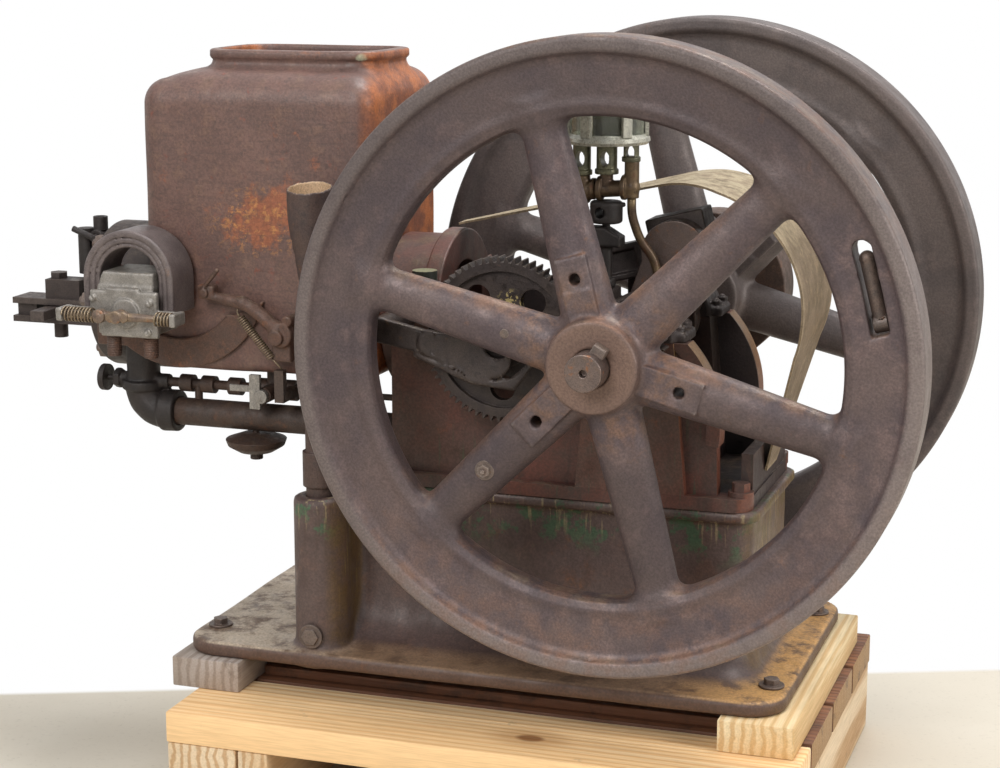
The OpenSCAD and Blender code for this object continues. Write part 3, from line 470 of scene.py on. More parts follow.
def patina(name, tones, size=0.05, rust=None, rustAt=(0.56, 0.68), rustSize=0.03, grain=0.0022,
           grainDepth=0.00022, dents=0.0005, rough=(0.5, 0.78), metallic=0.0, dust=None, dustAt=(0.45, 0.75),
           edge=None, edgeAmount=0.7, streaks=None, streakAt=(0.55, 0.7), specks=0.3, coat=0.0, deep=1.0,
           seed=0, more=None):
    # an aged metal face: two broad tones, a third in patches, rust, dust on what faces up, and worn edges
    material, tree, shader, place = newMaterial(name)
    broad = noiseAt(tree, place, size, 5, 0.62, seed=seed)
    patch = noiseAt(tree, place, size * 0.33, 6, 0.66, seed=seed + 3)
    fine = noiseAt(tree, place, grain, 3, 0.6, seed=seed + 5)
    colour = mixColours(tree, between(tree, broad, 0.38, 0.62), tones[0], tones[1])
    colour = mixColours(tree, between(tree, patch, 0.5, 0.68, 0, 0.75), colour, tones[2])
    if streaks:
        runs = noiseAt(tree, place, 0.022, 5, 0.6, (1, 1, 0.09), seed + 7)
        colour = mixColours(tree, between(tree, runs, *streakAt, 0, 0.7), colour, streaks)
    if rust:
        spots = noiseAt(tree, place, rustSize, 8, 0.72, seed=seed + 11)
        colour = mixColours(tree, between(tree, spots, *rustAt, 0, 0.9), colour, rust)
    if more:
        colour = more(tree, place, colour)
    if edge:
        turnedOut = addNode(tree, "ShaderNodeNewGeometry").outputs["Pointiness"]
        rim = times(tree, between(tree, turnedOut, 0.53, 0.62), between(tree, patch, 0.3, 0.6, 0.4, 1))
        colour = mixColours(tree, times(tree, rim, edgeAmount), colour, edge)
    if dust:
        looking = facing(tree, "Z")
        lying = times(tree, between(tree, looking, 0.35, 0.95), between(tree, patch, *dustAt))
        colour = mixColours(tree, times(tree, lying, 0.8), colour, dust)
    dots = between(tree, fine, 0.3, 0.72, deep * (1 - specks), deep * (1 + specks * 0.45))
    shade = addNode(tree, "ShaderNodeVectorMath", {"operation": "SCALE"}, {0: colour, "Scale": dots})
    tree.links.new(shade.outputs[0], shader.inputs["Base Color"])
    tree.links.new(between(tree, patch, 0.3, 0.7, rough[1], rough[0]), shader.inputs["Roughness"])
    shader.inputs["Metallic"].default_value = metallic
    if coat:
        shader.inputs["Coat Weight"].default_value = coat
        shader.inputs["Coat Roughness"].default_value = 0.35
    under = bump(tree, shader, patch, dents)
    bump(tree, shader, fine, grainDepth, under=under)
    return material


def stain(tree, colour, tone, *masks):
    return mixColours(tree, times(tree, *masks), colour, tone)


# the near wheel's tones; the darkest is mostly painted shade, and the tan one on upward faces is partly
# painted light
wheelTones = {"band": "#8c807c", "hub": "#90705a", "ochre": "#8f6a4f", "rustAndTopLight": "#9a735c", "grimeAndShade": "#3c3132",
              "low": "#826457"}


def wheelWearAndShade(tree, place, colour):
    # the rim's raised band and tread are rubbed paler and smoother than the web and the arms
    reach, height = reachFrom(tree, place, crank, (1, 0, 1)), part(tree, place, "Z")
    worn = noiseAt(tree, place, 0.03, 6, 0.65, seed=21)
    rubbed = between(tree, worn, 0.2, 0.55, 0.35, 0.8)
    colour = stain(tree, colour, wheelTones["band"], between(tree, reach, 0.334, 0.343), rubbed)
    colour = stain(tree, colour, wheelTones["hub"], between(tree, reach, 0.06, 0.045), 0.5)
    # rust round the hub, and on what faces up a paler tan that is rust and painted light from above
    ring = times(tree, between(tree, reach, 0.052, 0.066), between(tree, reach, 0.12, 0.075))
    colour = stain(tree, colour, wheelTones["ochre"], ring, between(tree, worn, 0.42, 0.66, 0, 0.5))
    upward = between(tree, facing(tree, "Z"), 0.25, 0.8)
    colour = stain(tree, colour, wheelTones["rustAndTopLight"], upward, between(tree, worn, 0.4, 0.62, 0, 0.7))
    # painted shade darkens the wheel's top towards the rim, and its bottom is paler brown
    upper = between(tree, reach, 0.2, 0.29, 0, 0.5)
    colour = stain(tree, colour, wheelTones["grimeAndShade"], between(tree, height, 0.62, 0.86), upper)
    bottom = times(tree, between(tree, height, 0.52, 0.25), between(tree, worn, 0.4, 0.65, 0, 0.5))
    colour = stain(tree, colour, wheelTones["low"], bottom, between(tree, reach, 0.25, 0.3))
    # grime and painted shade on the arms, the shade heavier on the low ones, and painted shade over the
    # wheel's side towards the hopper
    arms = times(tree, between(tree, reach, 0.09, 0.14), between(tree, reach, 0.3, 0.26))
    arms = times(tree, arms, between(tree, height, 0.62, 0.45, 0.1, 0.5))
    towards = times(tree, between(tree, part(tree, place, "X"), 0.0, -0.14), 0.34)
    return stain(tree, colour, wheelTones["grimeAndShade"], calculate(tree, "MAXIMUM", arms, towards))


# cast iron of the wheels: brown-violet oxide, fine sandy skin, light dust of rust low down, and on the near
# wheel painted shade and light
wheelIron = patina("wheelIron", ("#6a5a58", "#594c4f", "#7b6765"), 0.09, rust="#7d5d4c", rustAt=(0.6, 0.74),
                   grain=0.0026, grainDepth=0.00035, dents=0.0007, rough=(0.42, 0.62), metallic=0.25,
                   dust="#8d7a66", edge="#9c918c", edgeAmount=0.6, specks=0.26, deep=0.84, seed=1,
                   more=wheelWearAndShade)

# the same iron on the far wheel, greyer, without the near wheel's wear and painted shade
wheelIronFar = patina("wheelIronFar", ("#6a5f5c", "#5a5150", "#716461"), 0.1, rust="#6f5648",
                      rustAt=(0.62, 0.76), grain=0.0026, grainDepth=0.0003, dents=0.0006, rough=(0.42, 0.62),
                      metallic=0.25, edge="#958b86", specks=0.22, deep=0.86, seed=2)


# the two orange tones of the side facing +X are rust with painted sunlight
hopperTones = {"orange": "#b8683e", "fleck": "#cf8f56", "line": "#5a4640", "red": "#8c4a38",
               "soot": "#51413e", "low": "#5c3529", "chip": "#c3ccb0", "sunlitRust": ("#8c5034", "#c6743e"),
               "middle": (-0.295, -0.118, 0.69), "chipAt": (-346, -77, 309)}


def hopperRustAndSunlight(tree, place, colour):
    # bare orange rust in the middle of the near side, rust painted brighter as sunlight over the side facing
    # +X, scratches and sooty mottling
    worn = noiseAt(tree, place, 0.05, 9, 0.74, seed=31)
    far = reachFrom(tree, place, hopperTones["middle"], (1, 0.5, 1.5))
    near = between(tree, far, 0.11, 0.02)
    orange = between(tree, calculate(tree, "ADD", worn, times(tree, near, 0.2)), 0.6, 0.72)
    colour = stain(tree, colour, hopperTones["orange"], orange, 0.68)
    flecks = noiseAt(tree, place, 0.009, 7, 0.75, seed=38)
    bright = times(tree, between(tree, far, 0.085, 0.03), between(tree, flecks, 0.52, 0.6))
    colour = stain(tree, colour, hopperTones["fleck"], bright, 0.85)
    lines = noiseAt(tree, place, 0.004, 4, 0.6, (0.12, 0.12, 1), 39)
    colour = stain(tree, colour, hopperTones["line"], between(tree, lines, 0.5, 0.7, 0, 0.4))
    redder = noiseAt(tree, place, 0.018, 6, 0.7, seed=35)
    colour = stain(tree, colour, hopperTones["red"], between(tree, redder, 0.6, 0.72, 0, 0.7))
    soot = noiseAt(tree, place, 0.012, 7, 0.7, seed=33)
    colour = stain(tree, colour, hopperTones["soot"], between(tree, soot, 0.54, 0.68, 0, 0.55))
    low = times(tree, between(tree, part(tree, place, "Z"), 0.62, 0.5),
                between(tree, worn, 0.35, 0.6, 0.2, 0.9))
    colour = stain(tree, colour, hopperTones["low"], low, 0.55)
    # the fresh break in the lip's corner
    chip = between(tree, reachFrom(tree, place, at(*hopperTones["chipAt"])), 0.013, 0.0095)
    colour = stain(tree, colour, hopperTones["chip"], chip, between(tree, soot, 0.3, 0.45))
    # the side facing +X gets a brighter orange: its rust with painted sunlight
    rough = noiseAt(tree, place, 0.03, 7, 0.7, seed=37)
    brighter = mixColours(tree, between(tree, rough, 0.4, 0.62), *hopperTones["sunlitRust"])
    return stain(tree, colour, brighter, between(tree, facing(tree, "X"), 0.3, 0.9), 0.88)


# old red-lead paint on the hopper, worn through to rust, with painted sunlight on its side facing +X
hopperPaint = patina("hopperPaint", ("#7d5e55", "#6f544d", "#866759"), 0.07, rust="#a0684a",
                     rustAt=(0.62, 0.76), rustSize=0.045, grain=0.003, grainDepth=0.0003, dents=0.0006,
                     rough=(0.38, 0.6), dust="#7c6459", edge="#96735f", edgeAmount=0.45, streaks="#6b4638",
                     streakAt=(0.6, 0.75), specks=0.25, coat=0.08, deep=0.75, seed=4, more=hopperRustAndSunlight)


caseTones = {"drips": "#4d5540", "rim": ("#7d4632", "#a07d54"), "oil": "#2a2324",
             "grease": ("#3c3f36", "#9a9a78"), "cup": (-261, -100, 0)}


def caseStains(tree, place, colour):
    # black oil inside, tan and red rust along the walls' round edges, an old green grease cup
    along, across, height = (part(tree, place, axis) for axis in "XYZ")
    inward = between(tree, times(tree, facing(tree, "Y"), across), -0.005, -0.03)
    near = between(tree, calculate(tree, "ABSOLUTE", across), 0.1, 0.09)
    oily = times(tree, calculate(tree, "MAXIMUM", inward, near), between(tree, along, -0.08, -0.05))
    drips = noiseAt(tree, place, 0.007, 5, 0.65, (1, 1, 0.07), 45)
    streak = times(tree, between(tree, height, 0.53, 0.44), between(tree, drips, 0.57, 0.66))
    colour = stain(tree, colour, caseTones["drips"], streak, 0.7)
    rim = times(tree, between(tree, facing(tree, "X"), 0.3, 0.6), between(tree, along, 0.13, 0.16))
    rust = mixColours(tree, between(tree, height, 0.45, 0.57), *caseTones["rim"])
    colour = stain(tree, colour, rust, rim, 0.85)
    colour = stain(tree, colour, caseTones["oil"], oily, 0.9)
    reach = reachFrom(tree, place, at(*caseTones["cup"]), (1, 1, 0))
    cup = times(tree, between(tree, reach, 0.0162, 0.0156), between(tree, height, 0.607, 0.612))
    grease = mixColours(tree, between(tree, facing(tree, "Z"), 0.7, 0.95), *caseTones["grease"])
    return stain(tree, colour, grease, cup)


# maroon paint under oil and dirt on the crankcase
casePaint = patina("casePaint", ("#5e443c", "#6e4034", "#4e3c34"), 0.09, rust="#7f4a34", rustAt=(0.58, 0.72),
                   grain=0.003, grainDepth=0.0003, dents=0.0007, rough=(0.4, 0.65), dust="#8a735c",
                   edge="#97705c", edgeAmount=0.5, streaks="#3f2e29", specks=0.28, coat=0.1, deep=0.71,
                   seed=6, more=caseStains)


# the middle plate tone is painted shade under the box, and the ochre for +X faces is rust with painted
# sunlight
baseTones = {"green": "#47694a", "cream": "#b6a37c", "dust": ("#f6e2c8", "#ab8a6c", "#f6be74"),
             "bare": "#7b5f48", "sunlitRust": "#75592f", "runs": "#b8a05c", "plate": "#6b4c38"}


def baseStainsAndShading(tree, place, colour):
    # green undercoat near the ledge with cream drips, ochre rust with painted sunlight on the side facing +X,
    # pale dust to rust on the plate with painted shade in its middle under the box
    along, height = part(tree, place, "X"), part(tree, place, "Z")
    worn = noiseAt(tree, place, 0.035, 8, 0.72, seed=41)
    ledge = times(tree, between(tree, height, 0.30, 0.345), between(tree, height, 0.386, 0.372))
    green = times(tree, ledge, between(tree, worn, 0.52, 0.57))
    colour = stain(tree, colour, baseTones["green"], green, 0.9)
    drips = noiseAt(tree, place, 0.006, 4, 0.6, (1, 1, 0.06), 43)
    below = times(tree, between(tree, height, 0.325, 0.36), between(tree, height, 0.385, 0.372))
    colour = stain(tree, colour, baseTones["cream"], below, between(tree, drips, 0.56, 0.64), 0.75)
    # ochre rust on the faces turned to +X, painted as sunlit
    sunlitRust = times(tree, between(tree, facing(tree, "X"), 0.4, 0.9), between(tree, worn, 0.3, 0.6))
    colour = stain(tree, colour, baseTones["sunlitRust"], sunlitRust, 0.8)
    runs = times(tree, between(tree, facing(tree, "X"), 0.5, 0.9), between(tree, drips, 0.56, 0.63))
    colour = stain(tree, colour, baseTones["runs"], runs, between(tree, height, 0.2, 0.32), 0.6)
    plate = between(tree, height, 0.19, 0.181)
    colour = stain(tree, colour, baseTones["plate"], plate, 0.55)
    # the plate's top: dust on the left, painted shade in the middle under the box, orange on the right, bare
    # rust in patches
    left, middle, right = baseTones["dust"]
    pale = mixColours(tree, between(tree, along, -0.3, -0.12), left, middle)
    pale = mixColours(tree, between(tree, along, 0.2, 0.36), pale, right)
    pale = mixColours(tree, between(tree, worn, 0.46, 0.64), pale, baseTones["bare"])
    return stain(tree, colour, pale, plate, between(tree, facing(tree, "Z"), 0.5, 0.95), 0.9)


# brown-grey paint of the base over rust, with the stains that oil and weather left, painted sunlight on its
# side facing +X and painted shade on the plate under the box
basePaint = patina("basePaint", ("#685550", "#5c4742", "#72574e"), 0.08, rust="#7c5238", rustAt=(0.57, 0.72),
                   rustSize=0.05, grain=0.0028, grainDepth=0.00035, dents=0.0008, rough=(0.42, 0.68),
                   edge="#9a8170", edgeAmount=0.5, streaks="#543f38", specks=0.28, coat=0.06, deep=0.68,
                   seed=8, more=baseStainsAndShading)

# rusted mild-steel pipe with a dark scaly skin
pipeRust = patina("pipeRust", ("#54433c", "#5f4639", "#473833"), 0.03, rust="#80543a", rustAt=(0.55, 0.7),
                  rustSize=0.02, grain=0.0018, dents=0.0004, rough=(0.5, 0.75), metallic=0.15, dust="#8a7562",
                  edge="#8a7668", deep=0.5, seed=10)


def funnelInside(tree, place, colour):
    # the funnel's inner wall is pale tan just below its mouth
    reach = reachFrom(tree, place, at(-378.5, -168, 0), (1, 1, 0))
    high = between(tree, part(tree, place, "Z"), 0.703, 0.722)
    return stain(tree, colour, "#ffd9b0", between(tree, reach, 0.0256, 0.0248), high)


# tinned sheet of the filler and funnel, the tin long gone
funnelTin = patina("funnelTin", ("#5c4a47", "#68524a", "#4d3f3c"), 0.03, rust="#7f5a44", rustAt=(0.58, 0.72),
                   rustSize=0.02, grain=0.0018, dents=0.0004, rough=(0.45, 0.7), metallic=0.2, edge="#a08b7a",
                   deep=0.58, seed=11, more=funnelInside)


def gearDebris(tree, place, colour):
    # pale crumbs that have settled on the gear's web
    crumbs = noiseAt(tree, place, 0.0032, 3, 0.5, seed=15)
    near = between(tree, reachFrom(tree, place, at(-134, -156, 41)), 0.021, 0.011)
    return stain(tree, colour, "#e6d08e", near, between(tree, crumbs, 0.52, 0.58))


# gear and lever steel under dried oil
oilyGear = patina("oilyGear", ("#4b403e", "#574a45", "#3c3330"), 0.03, rust="#7d5c44", rustAt=(0.6, 0.74),
                  rustSize=0.02, grain=0.0016, dents=0.0003, rough=(0.32, 0.6), metallic=0.35, dust="#8b7a63",
                  edge="#a08f7f", edgeAmount=0.8, deep=0.55, seed=12, more=gearDebris)

# forged and turned steel of the shaft, worn bright under a thin brown film
forgedSteel = patina("forgedSteel", ("#75655f", "#6a5c57", "#80695c"), 0.02, rust="#a5683a",
                     rustAt=(0.58, 0.7), rustSize=0.015, grain=0.0012, grainDepth=0.00012, dents=0.0002,
                     rough=(0.3, 0.5), metallic=0.6, edge="#b9aaa0", deep=0.84, seed=14)

# small castings, dark with oil and a little dust
darkIron = patina("darkIron", ("#443a38", "#4e4340", "#383130"), 0.03, rust="#6f5140", rustAt=(0.6, 0.74),
                  rustSize=0.02, grain=0.0016, dents=0.0004, rough=(0.42, 0.68), metallic=0.3, dust="#7d6c5c",
                  edge="#8a7c74", edgeAmount=0.7, deep=0.7, seed=16)

# black iron of the elbow and valves, nearly soot
charredIron = patina("charredIron", ("#3f3837", "#4a403d", "#332d2c"), 0.03, rust="#64483a",
                     rustAt=(0.6, 0.74), rustSize=0.02, grain=0.0016, dents=0.0004, rough=(0.45, 0.7),
                     metallic=0.2, edge="#75675f", deep=0.42, seed=18)

# dull grey die-cast alloy of the magneto's front, grease in its corners
zincAlloy = patina("zincAlloy", ("#9a958f", "#8a857f", "#a8a39b"), 0.02, rust="#6f655c", rustAt=(0.56, 0.7),
                   rustSize=0.014, grain=0.0013, grainDepth=0.00015, dents=0.00025, rough=(0.35, 0.6),
                   metallic=0.45, edge="#c0bbb2", dust="#8a7a62", deep=0.9, seed=20)

# grey-brown hardened steel of the horseshoe magnets
magnetSteel = patina("magnetSteel", ("#645a59", "#736866", "#564d4d"), 0.025, rust="#80634f",
                     rustAt=(0.6, 0.74), rustSize=0.02, grain=0.0015, dents=0.0003, rough=(0.35, 0.58),
                     metallic=0.15, edge="#a1948a", seed=22)

# red-brown crust on the magneto's bracket and the trip arm
malleable = patina("malleable", ("#5c463d", "#6a4d40", "#4b3a34"), 0.03, rust="#86573c", rustAt=(0.56, 0.7),
                   rustSize=0.02, grain=0.0017, dents=0.0004, rough=(0.45, 0.7), metallic=0.2, dust="#8d7862",
                   edge="#978071", deep=0.8, seed=24)

# brass of the oil feeds and their pipe, browned by oil
feedBrass = patina("feedBrass", ("#5f4d3e", "#77644a", "#4b3d34"), 0.02, rust="#6d4a38", rustAt=(0.55, 0.68),
                   rustSize=0.012, grain=0.001, grainDepth=0.00008, dents=0.0002, rough=(0.32, 0.55),
                   metallic=0.5, edge="#a8946c", seed=27)

# the feeds' sight cages, brass gone green
feedGreen = patina("feedGreen", ("#5e5d4c", "#74725a", "#45453a"), 0.012, rust="#6f6d55", rustAt=(0.56, 0.7),
                   rustSize=0.008, grain=0.001, grainDepth=0.00008, dents=0.0002, rough=(0.3, 0.5),
                   metallic=0.45, edge="#9a9a84", seed=29)

# yoke and nuts on the magneto, yellowed by grease
rotorBronze = patina("rotorBronze", ("#75655a", "#86725c", "#5b4e46"), 0.014, rust="#8a5a3c",
                     rustAt=(0.55, 0.68), rustSize=0.01, grain=0.001, grainDepth=0.00008, dents=0.0002,
                     rough=(0.3, 0.55), metallic=0.45, edge="#c0aa84", seed=31)

# plated brass of the oiler, pale and a little yellow
nickelPlate = patina("nickelPlate", ("#c2c0b2", "#adaca0", "#d2d0c0"), 0.012, rust="#74785f",
                     rustAt=(0.6, 0.74), rustSize=0.01, grain=0.001, grainDepth=0.00006, dents=0.0001,
                     rough=(0.2, 0.4), metallic=0.35, edge="#c4c5bd", seed=28)

# sheet-iron guard, tan paint gone chalky and dusty
guardSheet = patina("guardSheet", ("#7d6b56", "#65553f", "#8d785c"), 0.06, rust="#785a42", rustAt=(0.6, 0.74),
                    rustSize=0.03, grain=0.002, dents=0.0006, rough=(0.5, 0.72), dust="#b3a486",
                    dustAt=(0.3, 0.6), edge="#b39f82", seed=30)

# drawn spring wire, straw-coloured with rust in its turns
springSteel = patina("springSteel", ("#8d7d68", "#7a6a58", "#9c8c72"), 0.01, rust="#82593a",
                     rustAt=(0.58, 0.7), rustSize=0.006, grain=0.0008, grainDepth=0.00005, dents=0.0001,
                     rough=(0.3, 0.5), metallic=0.6, seed=32)

# mild-steel bolts and nuts, brown all over with rubbed corners
boltSteel = patina("boltSteel", ("#5a4f4a", "#6a5a52", "#493f3c"), 0.015, rust="#7d5941", rustAt=(0.57, 0.7),
                   rustSize=0.01, grain=0.0012, grainDepth=0.00012, dents=0.0002, rough=(0.38, 0.6),
                   metallic=0.4, edge="#9d9087", dust="#83705c", seed=34)

# forged rod wet with old oil
rodIron = patina("rodIron", ("#4a403e", "#574c49", "#3d3534"), 0.04, rust="#6b5446", rustAt=(0.6, 0.74),
                 rustSize=0.02, grain=0.0016, dents=0.0003, rough=(0.35, 0.6), metallic=0.3, edge="#86786f",
                 deep=0.7, seed=36)

# built-up belt pulley of pressed fibre, dark with belt dressing
pulleyFibre = patina("pulleyFibre", ("#5a453b", "#4a3a33", "#6a5042"), 0.03, rust="#7d5a44",
                     rustAt=(0.56, 0.7), rustSize=0.015, grain=0.0014, dents=0.0006, rough=(0.55, 0.8),
                     edge="#8a705e", seed=38)


board = {"rings": 0.012, "rough": (0.75, 0.5), "ridge": 0.00035, "fuzz": 0.0003, "knot": "#6a3f22",
         "halo": "#a5713f"}


def timber(name, tones, along, dirty, ends=None, knots=(), seed=0):
    # sawn softwood: growth rings drawn out along the board, fine fibre, knots, and grime from boots and oil
    material, tree, shader, place = newMaterial(name)
    stretch = tuple(0.045 if axis == along else 1.0 for axis in "XYZ")
    sway = noiseAt(tree, place, 0.09, 3, 0.5, stretch, seed)
    drawn = addNode(tree, "ShaderNodeMapping", {},
                    {"Vector": place, "Scale": stretch, "Location": (seed, seed, 0)})
    rings = addNode(tree, "ShaderNodeTexWave", {
        "wave_type": "BANDS", "bands_direction": "Y" if along == "X" else "X"}, {
        "Vector": drawn.outputs[0], "Scale": 0.32 / board["rings"], "Distortion": 5.5, "Detail": 3,
        "Detail Scale": 1.1, "Detail Roughness": 0.55}).outputs[1]
    fibre = noiseAt(tree, place, 0.0022, 4, 0.6, stretch, seed + 2)
    colour = mixColours(tree, between(tree, sway, 0.35, 0.65), tones[0], tones[1])
    colour = stain(tree, colour, tones[2], between(tree, rings, 0.35, 0.95, 0, 0.75))
    if ends:
        tips = calculate(tree, "ABSOLUTE", facing(tree, along))
        colour = stain(tree, colour, ends, between(tree, tips, 0.5, 0.8, 0, 0.85))
    for spot in knots:
        reach = reachFrom(tree, place, spot[:3], (0.6, 1, 1) if along == "X" else (1, 0.6, 1))
        colour = stain(tree, colour, board["knot"], between(tree, reach, spot[3], spot[3] * 0.55), 0.85)
        colour = stain(tree, colour, board["halo"], between(tree, reach, spot[3] * 3, spot[3]), 0.35)
    grimeAndShade = noiseAt(tree, place, 0.04, 7, 0.7, seed=seed + 6)
    colour = stain(tree, colour, dirty[0], between(tree, grimeAndShade, *dirty[1], 0, 0.8))
    dots = between(tree, fibre, 0.3, 0.7, 0.9, 1.08)
    shade = addNode(tree, "ShaderNodeVectorMath", {"operation": "SCALE"}, {0: colour, "Scale": dots})
    tree.links.new(shade.outputs[0], shader.inputs["Base Color"])
    tree.links.new(between(tree, fibre, 0.3, 0.7, *board["rough"]), shader.inputs["Roughness"])
    under = bump(tree, shader, rings, board["ridge"])
    bump(tree, shader, fibre, board["fuzz"], under=under)
    return material


# fresh pine of the front deck board, cream with honey rings and one knot
freshPine = timber("freshPine", ("#fbdfb4", "#f2cb97", "#e2b077"), "X", ("#9c876c", (0.62, 0.78)),
                   knots=((0.092, -0.25, 0.13, 0.013),), seed=50)

# pine behind it, red-brown with rust and oil, paler on its sawn ends
stainedPine = timber("stainedPine", ("#8f6243", "#7a5038", "#5f3d2b"), "X", ("#4a3529", (0.5, 0.68)),
                     "#a18158", seed=54)

# weathered pine of the stringers
stringerPine = timber("stringerPine", ("#dcc6a6", "#ccaa7e", "#b38a5c"), "Y", ("#8a7357", (0.58, 0.74)),
                      seed=58)

# the left bearer, grey from the weather, and the right one, newer and pale
greyPine = timber("greyPine", ("#aba099", "#9b8e83", "#88796e"), "Y", ("#6a5c50", (0.55, 0.72)), seed=62)
palePine = timber("palePine", ("#e8dab6", "#dcbe8f", "#c8a26c"), "Y", ("#94795a", (0.62, 0.78)), seed=66)


def clearGlass():
    # old oiler glass, faintly green, with a film of oil
    material, tree, shader, place = newMaterial("oilerGlass")
    film = noiseAt(tree, place, 0.012, 5, 0.6, seed=70)
    tree.links.new(mixColours(tree, between(tree, film, 0.4, 0.7), "#e6ece4", "#c9cdb4"),
                   shader.inputs["Base Color"])
    tree.links.new(between(tree, film, 0.4, 0.75, 0.03, 0.22), shader.inputs["Roughness"])
    shader.inputs["Transmission Weight"].default_value = 0.92
    shader.inputs["IOR"].default_value = 1.45
    return material


oilerGlass = clearGlass()
print("finishes made")

# view, light and floor

view = {"lens": 77.234, "sensor": 36, "place": (0.8019, -2.4654, 1.0356), "tilt": 78.04, "turn": 18.62}
lamps = {
    "keyLight": {"place": (-0.5, -2.9, 2.4), "target": (0, 0, 0.4), "size": 1.7, "power": 70,
                 "colour": (1, 0.985, 0.965)},
    "overheadLight": {"place": (0.5, 0.5, 3.4), "target": (0, 0, 0.5), "size": 1.9, "power": 90,
                      "colour": (1, 1, 1)},
    "sideLight": {"place": (3.1, -0.8, 1.7), "target": (0, 0, 0.45), "size": 1.3, "power": 44,
                  "colour": (1, 0.97, 0.93)}}
floorLook = {"tones": ("#dfd8ca", "#d5cdbe"), "grit": "#a89f90", "away": (-0.3857, 0.9226, 0),
             "fade": (0.268, 0.284), "spread": (1.1, 2.4), "radius": 14, "drop": 0.0006}

scene = bpy.context.scene
scene.view_settings.view_transform = "Standard"
lens = bpy.data.cameras.new("viewLens")
lens.lens, lens.sensor_width = view["lens"], view["sensor"]
viewer = bpy.data.objects.new("viewer", lens)
viewer.location = view["place"]
viewer.rotation_euler = (math.radians(view["tilt"]), 0, math.radians(view["turn"]))
scene.collection.objects.link(viewer)
scene.camera = viewer


def softLight(name, place, target, size, power, colour):
    light = bpy.data.lights.new(name, "AREA")
    light.shape, light.size, light.energy, light.color = "DISK", size, power, colour
    lamp = bpy.data.objects.new(name, light)
    lamp.location = place
    lamp.rotation_euler = (Vector(target) - Vector(place)).to_track_quat("-Z", "Y").to_euler()
    scene.collection.objects.link(lamp)


for name, values in lamps.items():
    softLight(name, **values)

world = bpy.data.worlds.new("studio")
scene.world = world
world.use_nodes = True
sky = world.node_tree
sky.nodes.clear()

# the room is white where it is seen or mirrored, and softer as a light
ray = addNode(sky, "ShaderNodeLightPath").outputs
seen = calculate(sky, "MAXIMUM", ray["Is Camera Ray"], ray["Is Transmission Ray"])
seen = calculate(sky, "MAXIMUM", seen, times(sky, ray["Is Glossy Ray"], 0.75))
glow = addNode(sky, "ShaderNodeBackground", {},
               {"Color": (1, 1, 1, 1), "Strength": between(sky, seen, 0, 1, 0.4, 1)})
addNode(sky, "ShaderNodeOutputWorld", {}, {"Surface": glow.outputs[0]})


def makeFloor():
    # pale concrete under the stand that fades into the white room behind it and far off
    material, tree, shader, place = newMaterial("paleFloor")
    grain = noiseAt(tree, place, 0.006, 5, 0.6, seed=80)
    cloudy = noiseAt(tree, place, 0.35, 4, 0.5, seed=81)
    tone = mixColours(tree, between(tree, cloudy, 0.35, 0.65), *floorLook["tones"])
    tone = stain(tree, tone, floorLook["grit"], between(tree, grain, 0.55, 0.75, 0, 0.25))
    tree.links.new(tone, shader.inputs["Base Color"])
    shader.inputs["Roughness"].default_value = 0.7
    across = addNode(tree, "ShaderNodeVectorMath", {"operation": "DOT_PRODUCT"},
                     {0: place, 1: floorLook["away"]})
    behind = between(tree, across.outputs["Value"], *floorLook["fade"])
    far = calculate(tree, "MAXIMUM", behind,
                    between(tree, reachFrom(tree, place, (0, 0, 0)), *floorLook["spread"]))
    camera = addNode(tree, "ShaderNodeLightPath").outputs["Is Camera Ray"]
    white = addNode(tree, "ShaderNodeEmission", {}, {"Color": (1, 1, 1, 1), "Strength": 1.0})
    mixed = addNode(tree, "ShaderNodeMixShader", {}, {
        0: times(tree, far, camera), 1: shader.outputs[0], 2: white.outputs[0]})
    tree.links.new(mixed.outputs[0], tree.nodes["Material Output"].inputs["Surface"])
    shape = bmesh.new()
    bmesh.ops.create_circle(shape, cap_ends=True, radius=floorLook["radius"], segments=96)
    mesh = bpy.data.meshes.new("floor")
    shape.to_mesh(mesh)
    shape.free()
    mesh.materials.append(material)
    floor = bpy.data.objects.new("floor", mesh)
    floor.location.z = -floorLook["drop"]
    scene.collection.objects.link(floor)


makeFloor()
print("view, lights and floor made")

# flywheels

wheel = {"mid": 246.5, "hub": 52, "hubHalf": 43.5, "bore": 21.1, "arms": (-15, 45, 105, 165, 225, 285),
         "armWide": (32, 24.5), "armThick": (23, 16.5), "armRun": (20, 288), "taper": (40, 233),
         "armFillet": 10, "rimFillet": 17, "hubFillet": 13, "slotAngle": 14, "slotRadius": 309.5,
         "slotHalf": 10.5, "slotBend": 2400, "upperPad": (62, (22, 17.2, 25.5), 1.2),
         "lowerPad": (81, (40, 18, 24), 1.5), "groove": (85.5, 24.6, 1.1),
         "profile": ((268, 9), (271, 16), (280, 20), (290, 18.5), (329, 20.5), (334, 23.5), (337, 28),
                     (340, 30), (352, 30), (355, 27)), "turns": 354, "grain": 3}


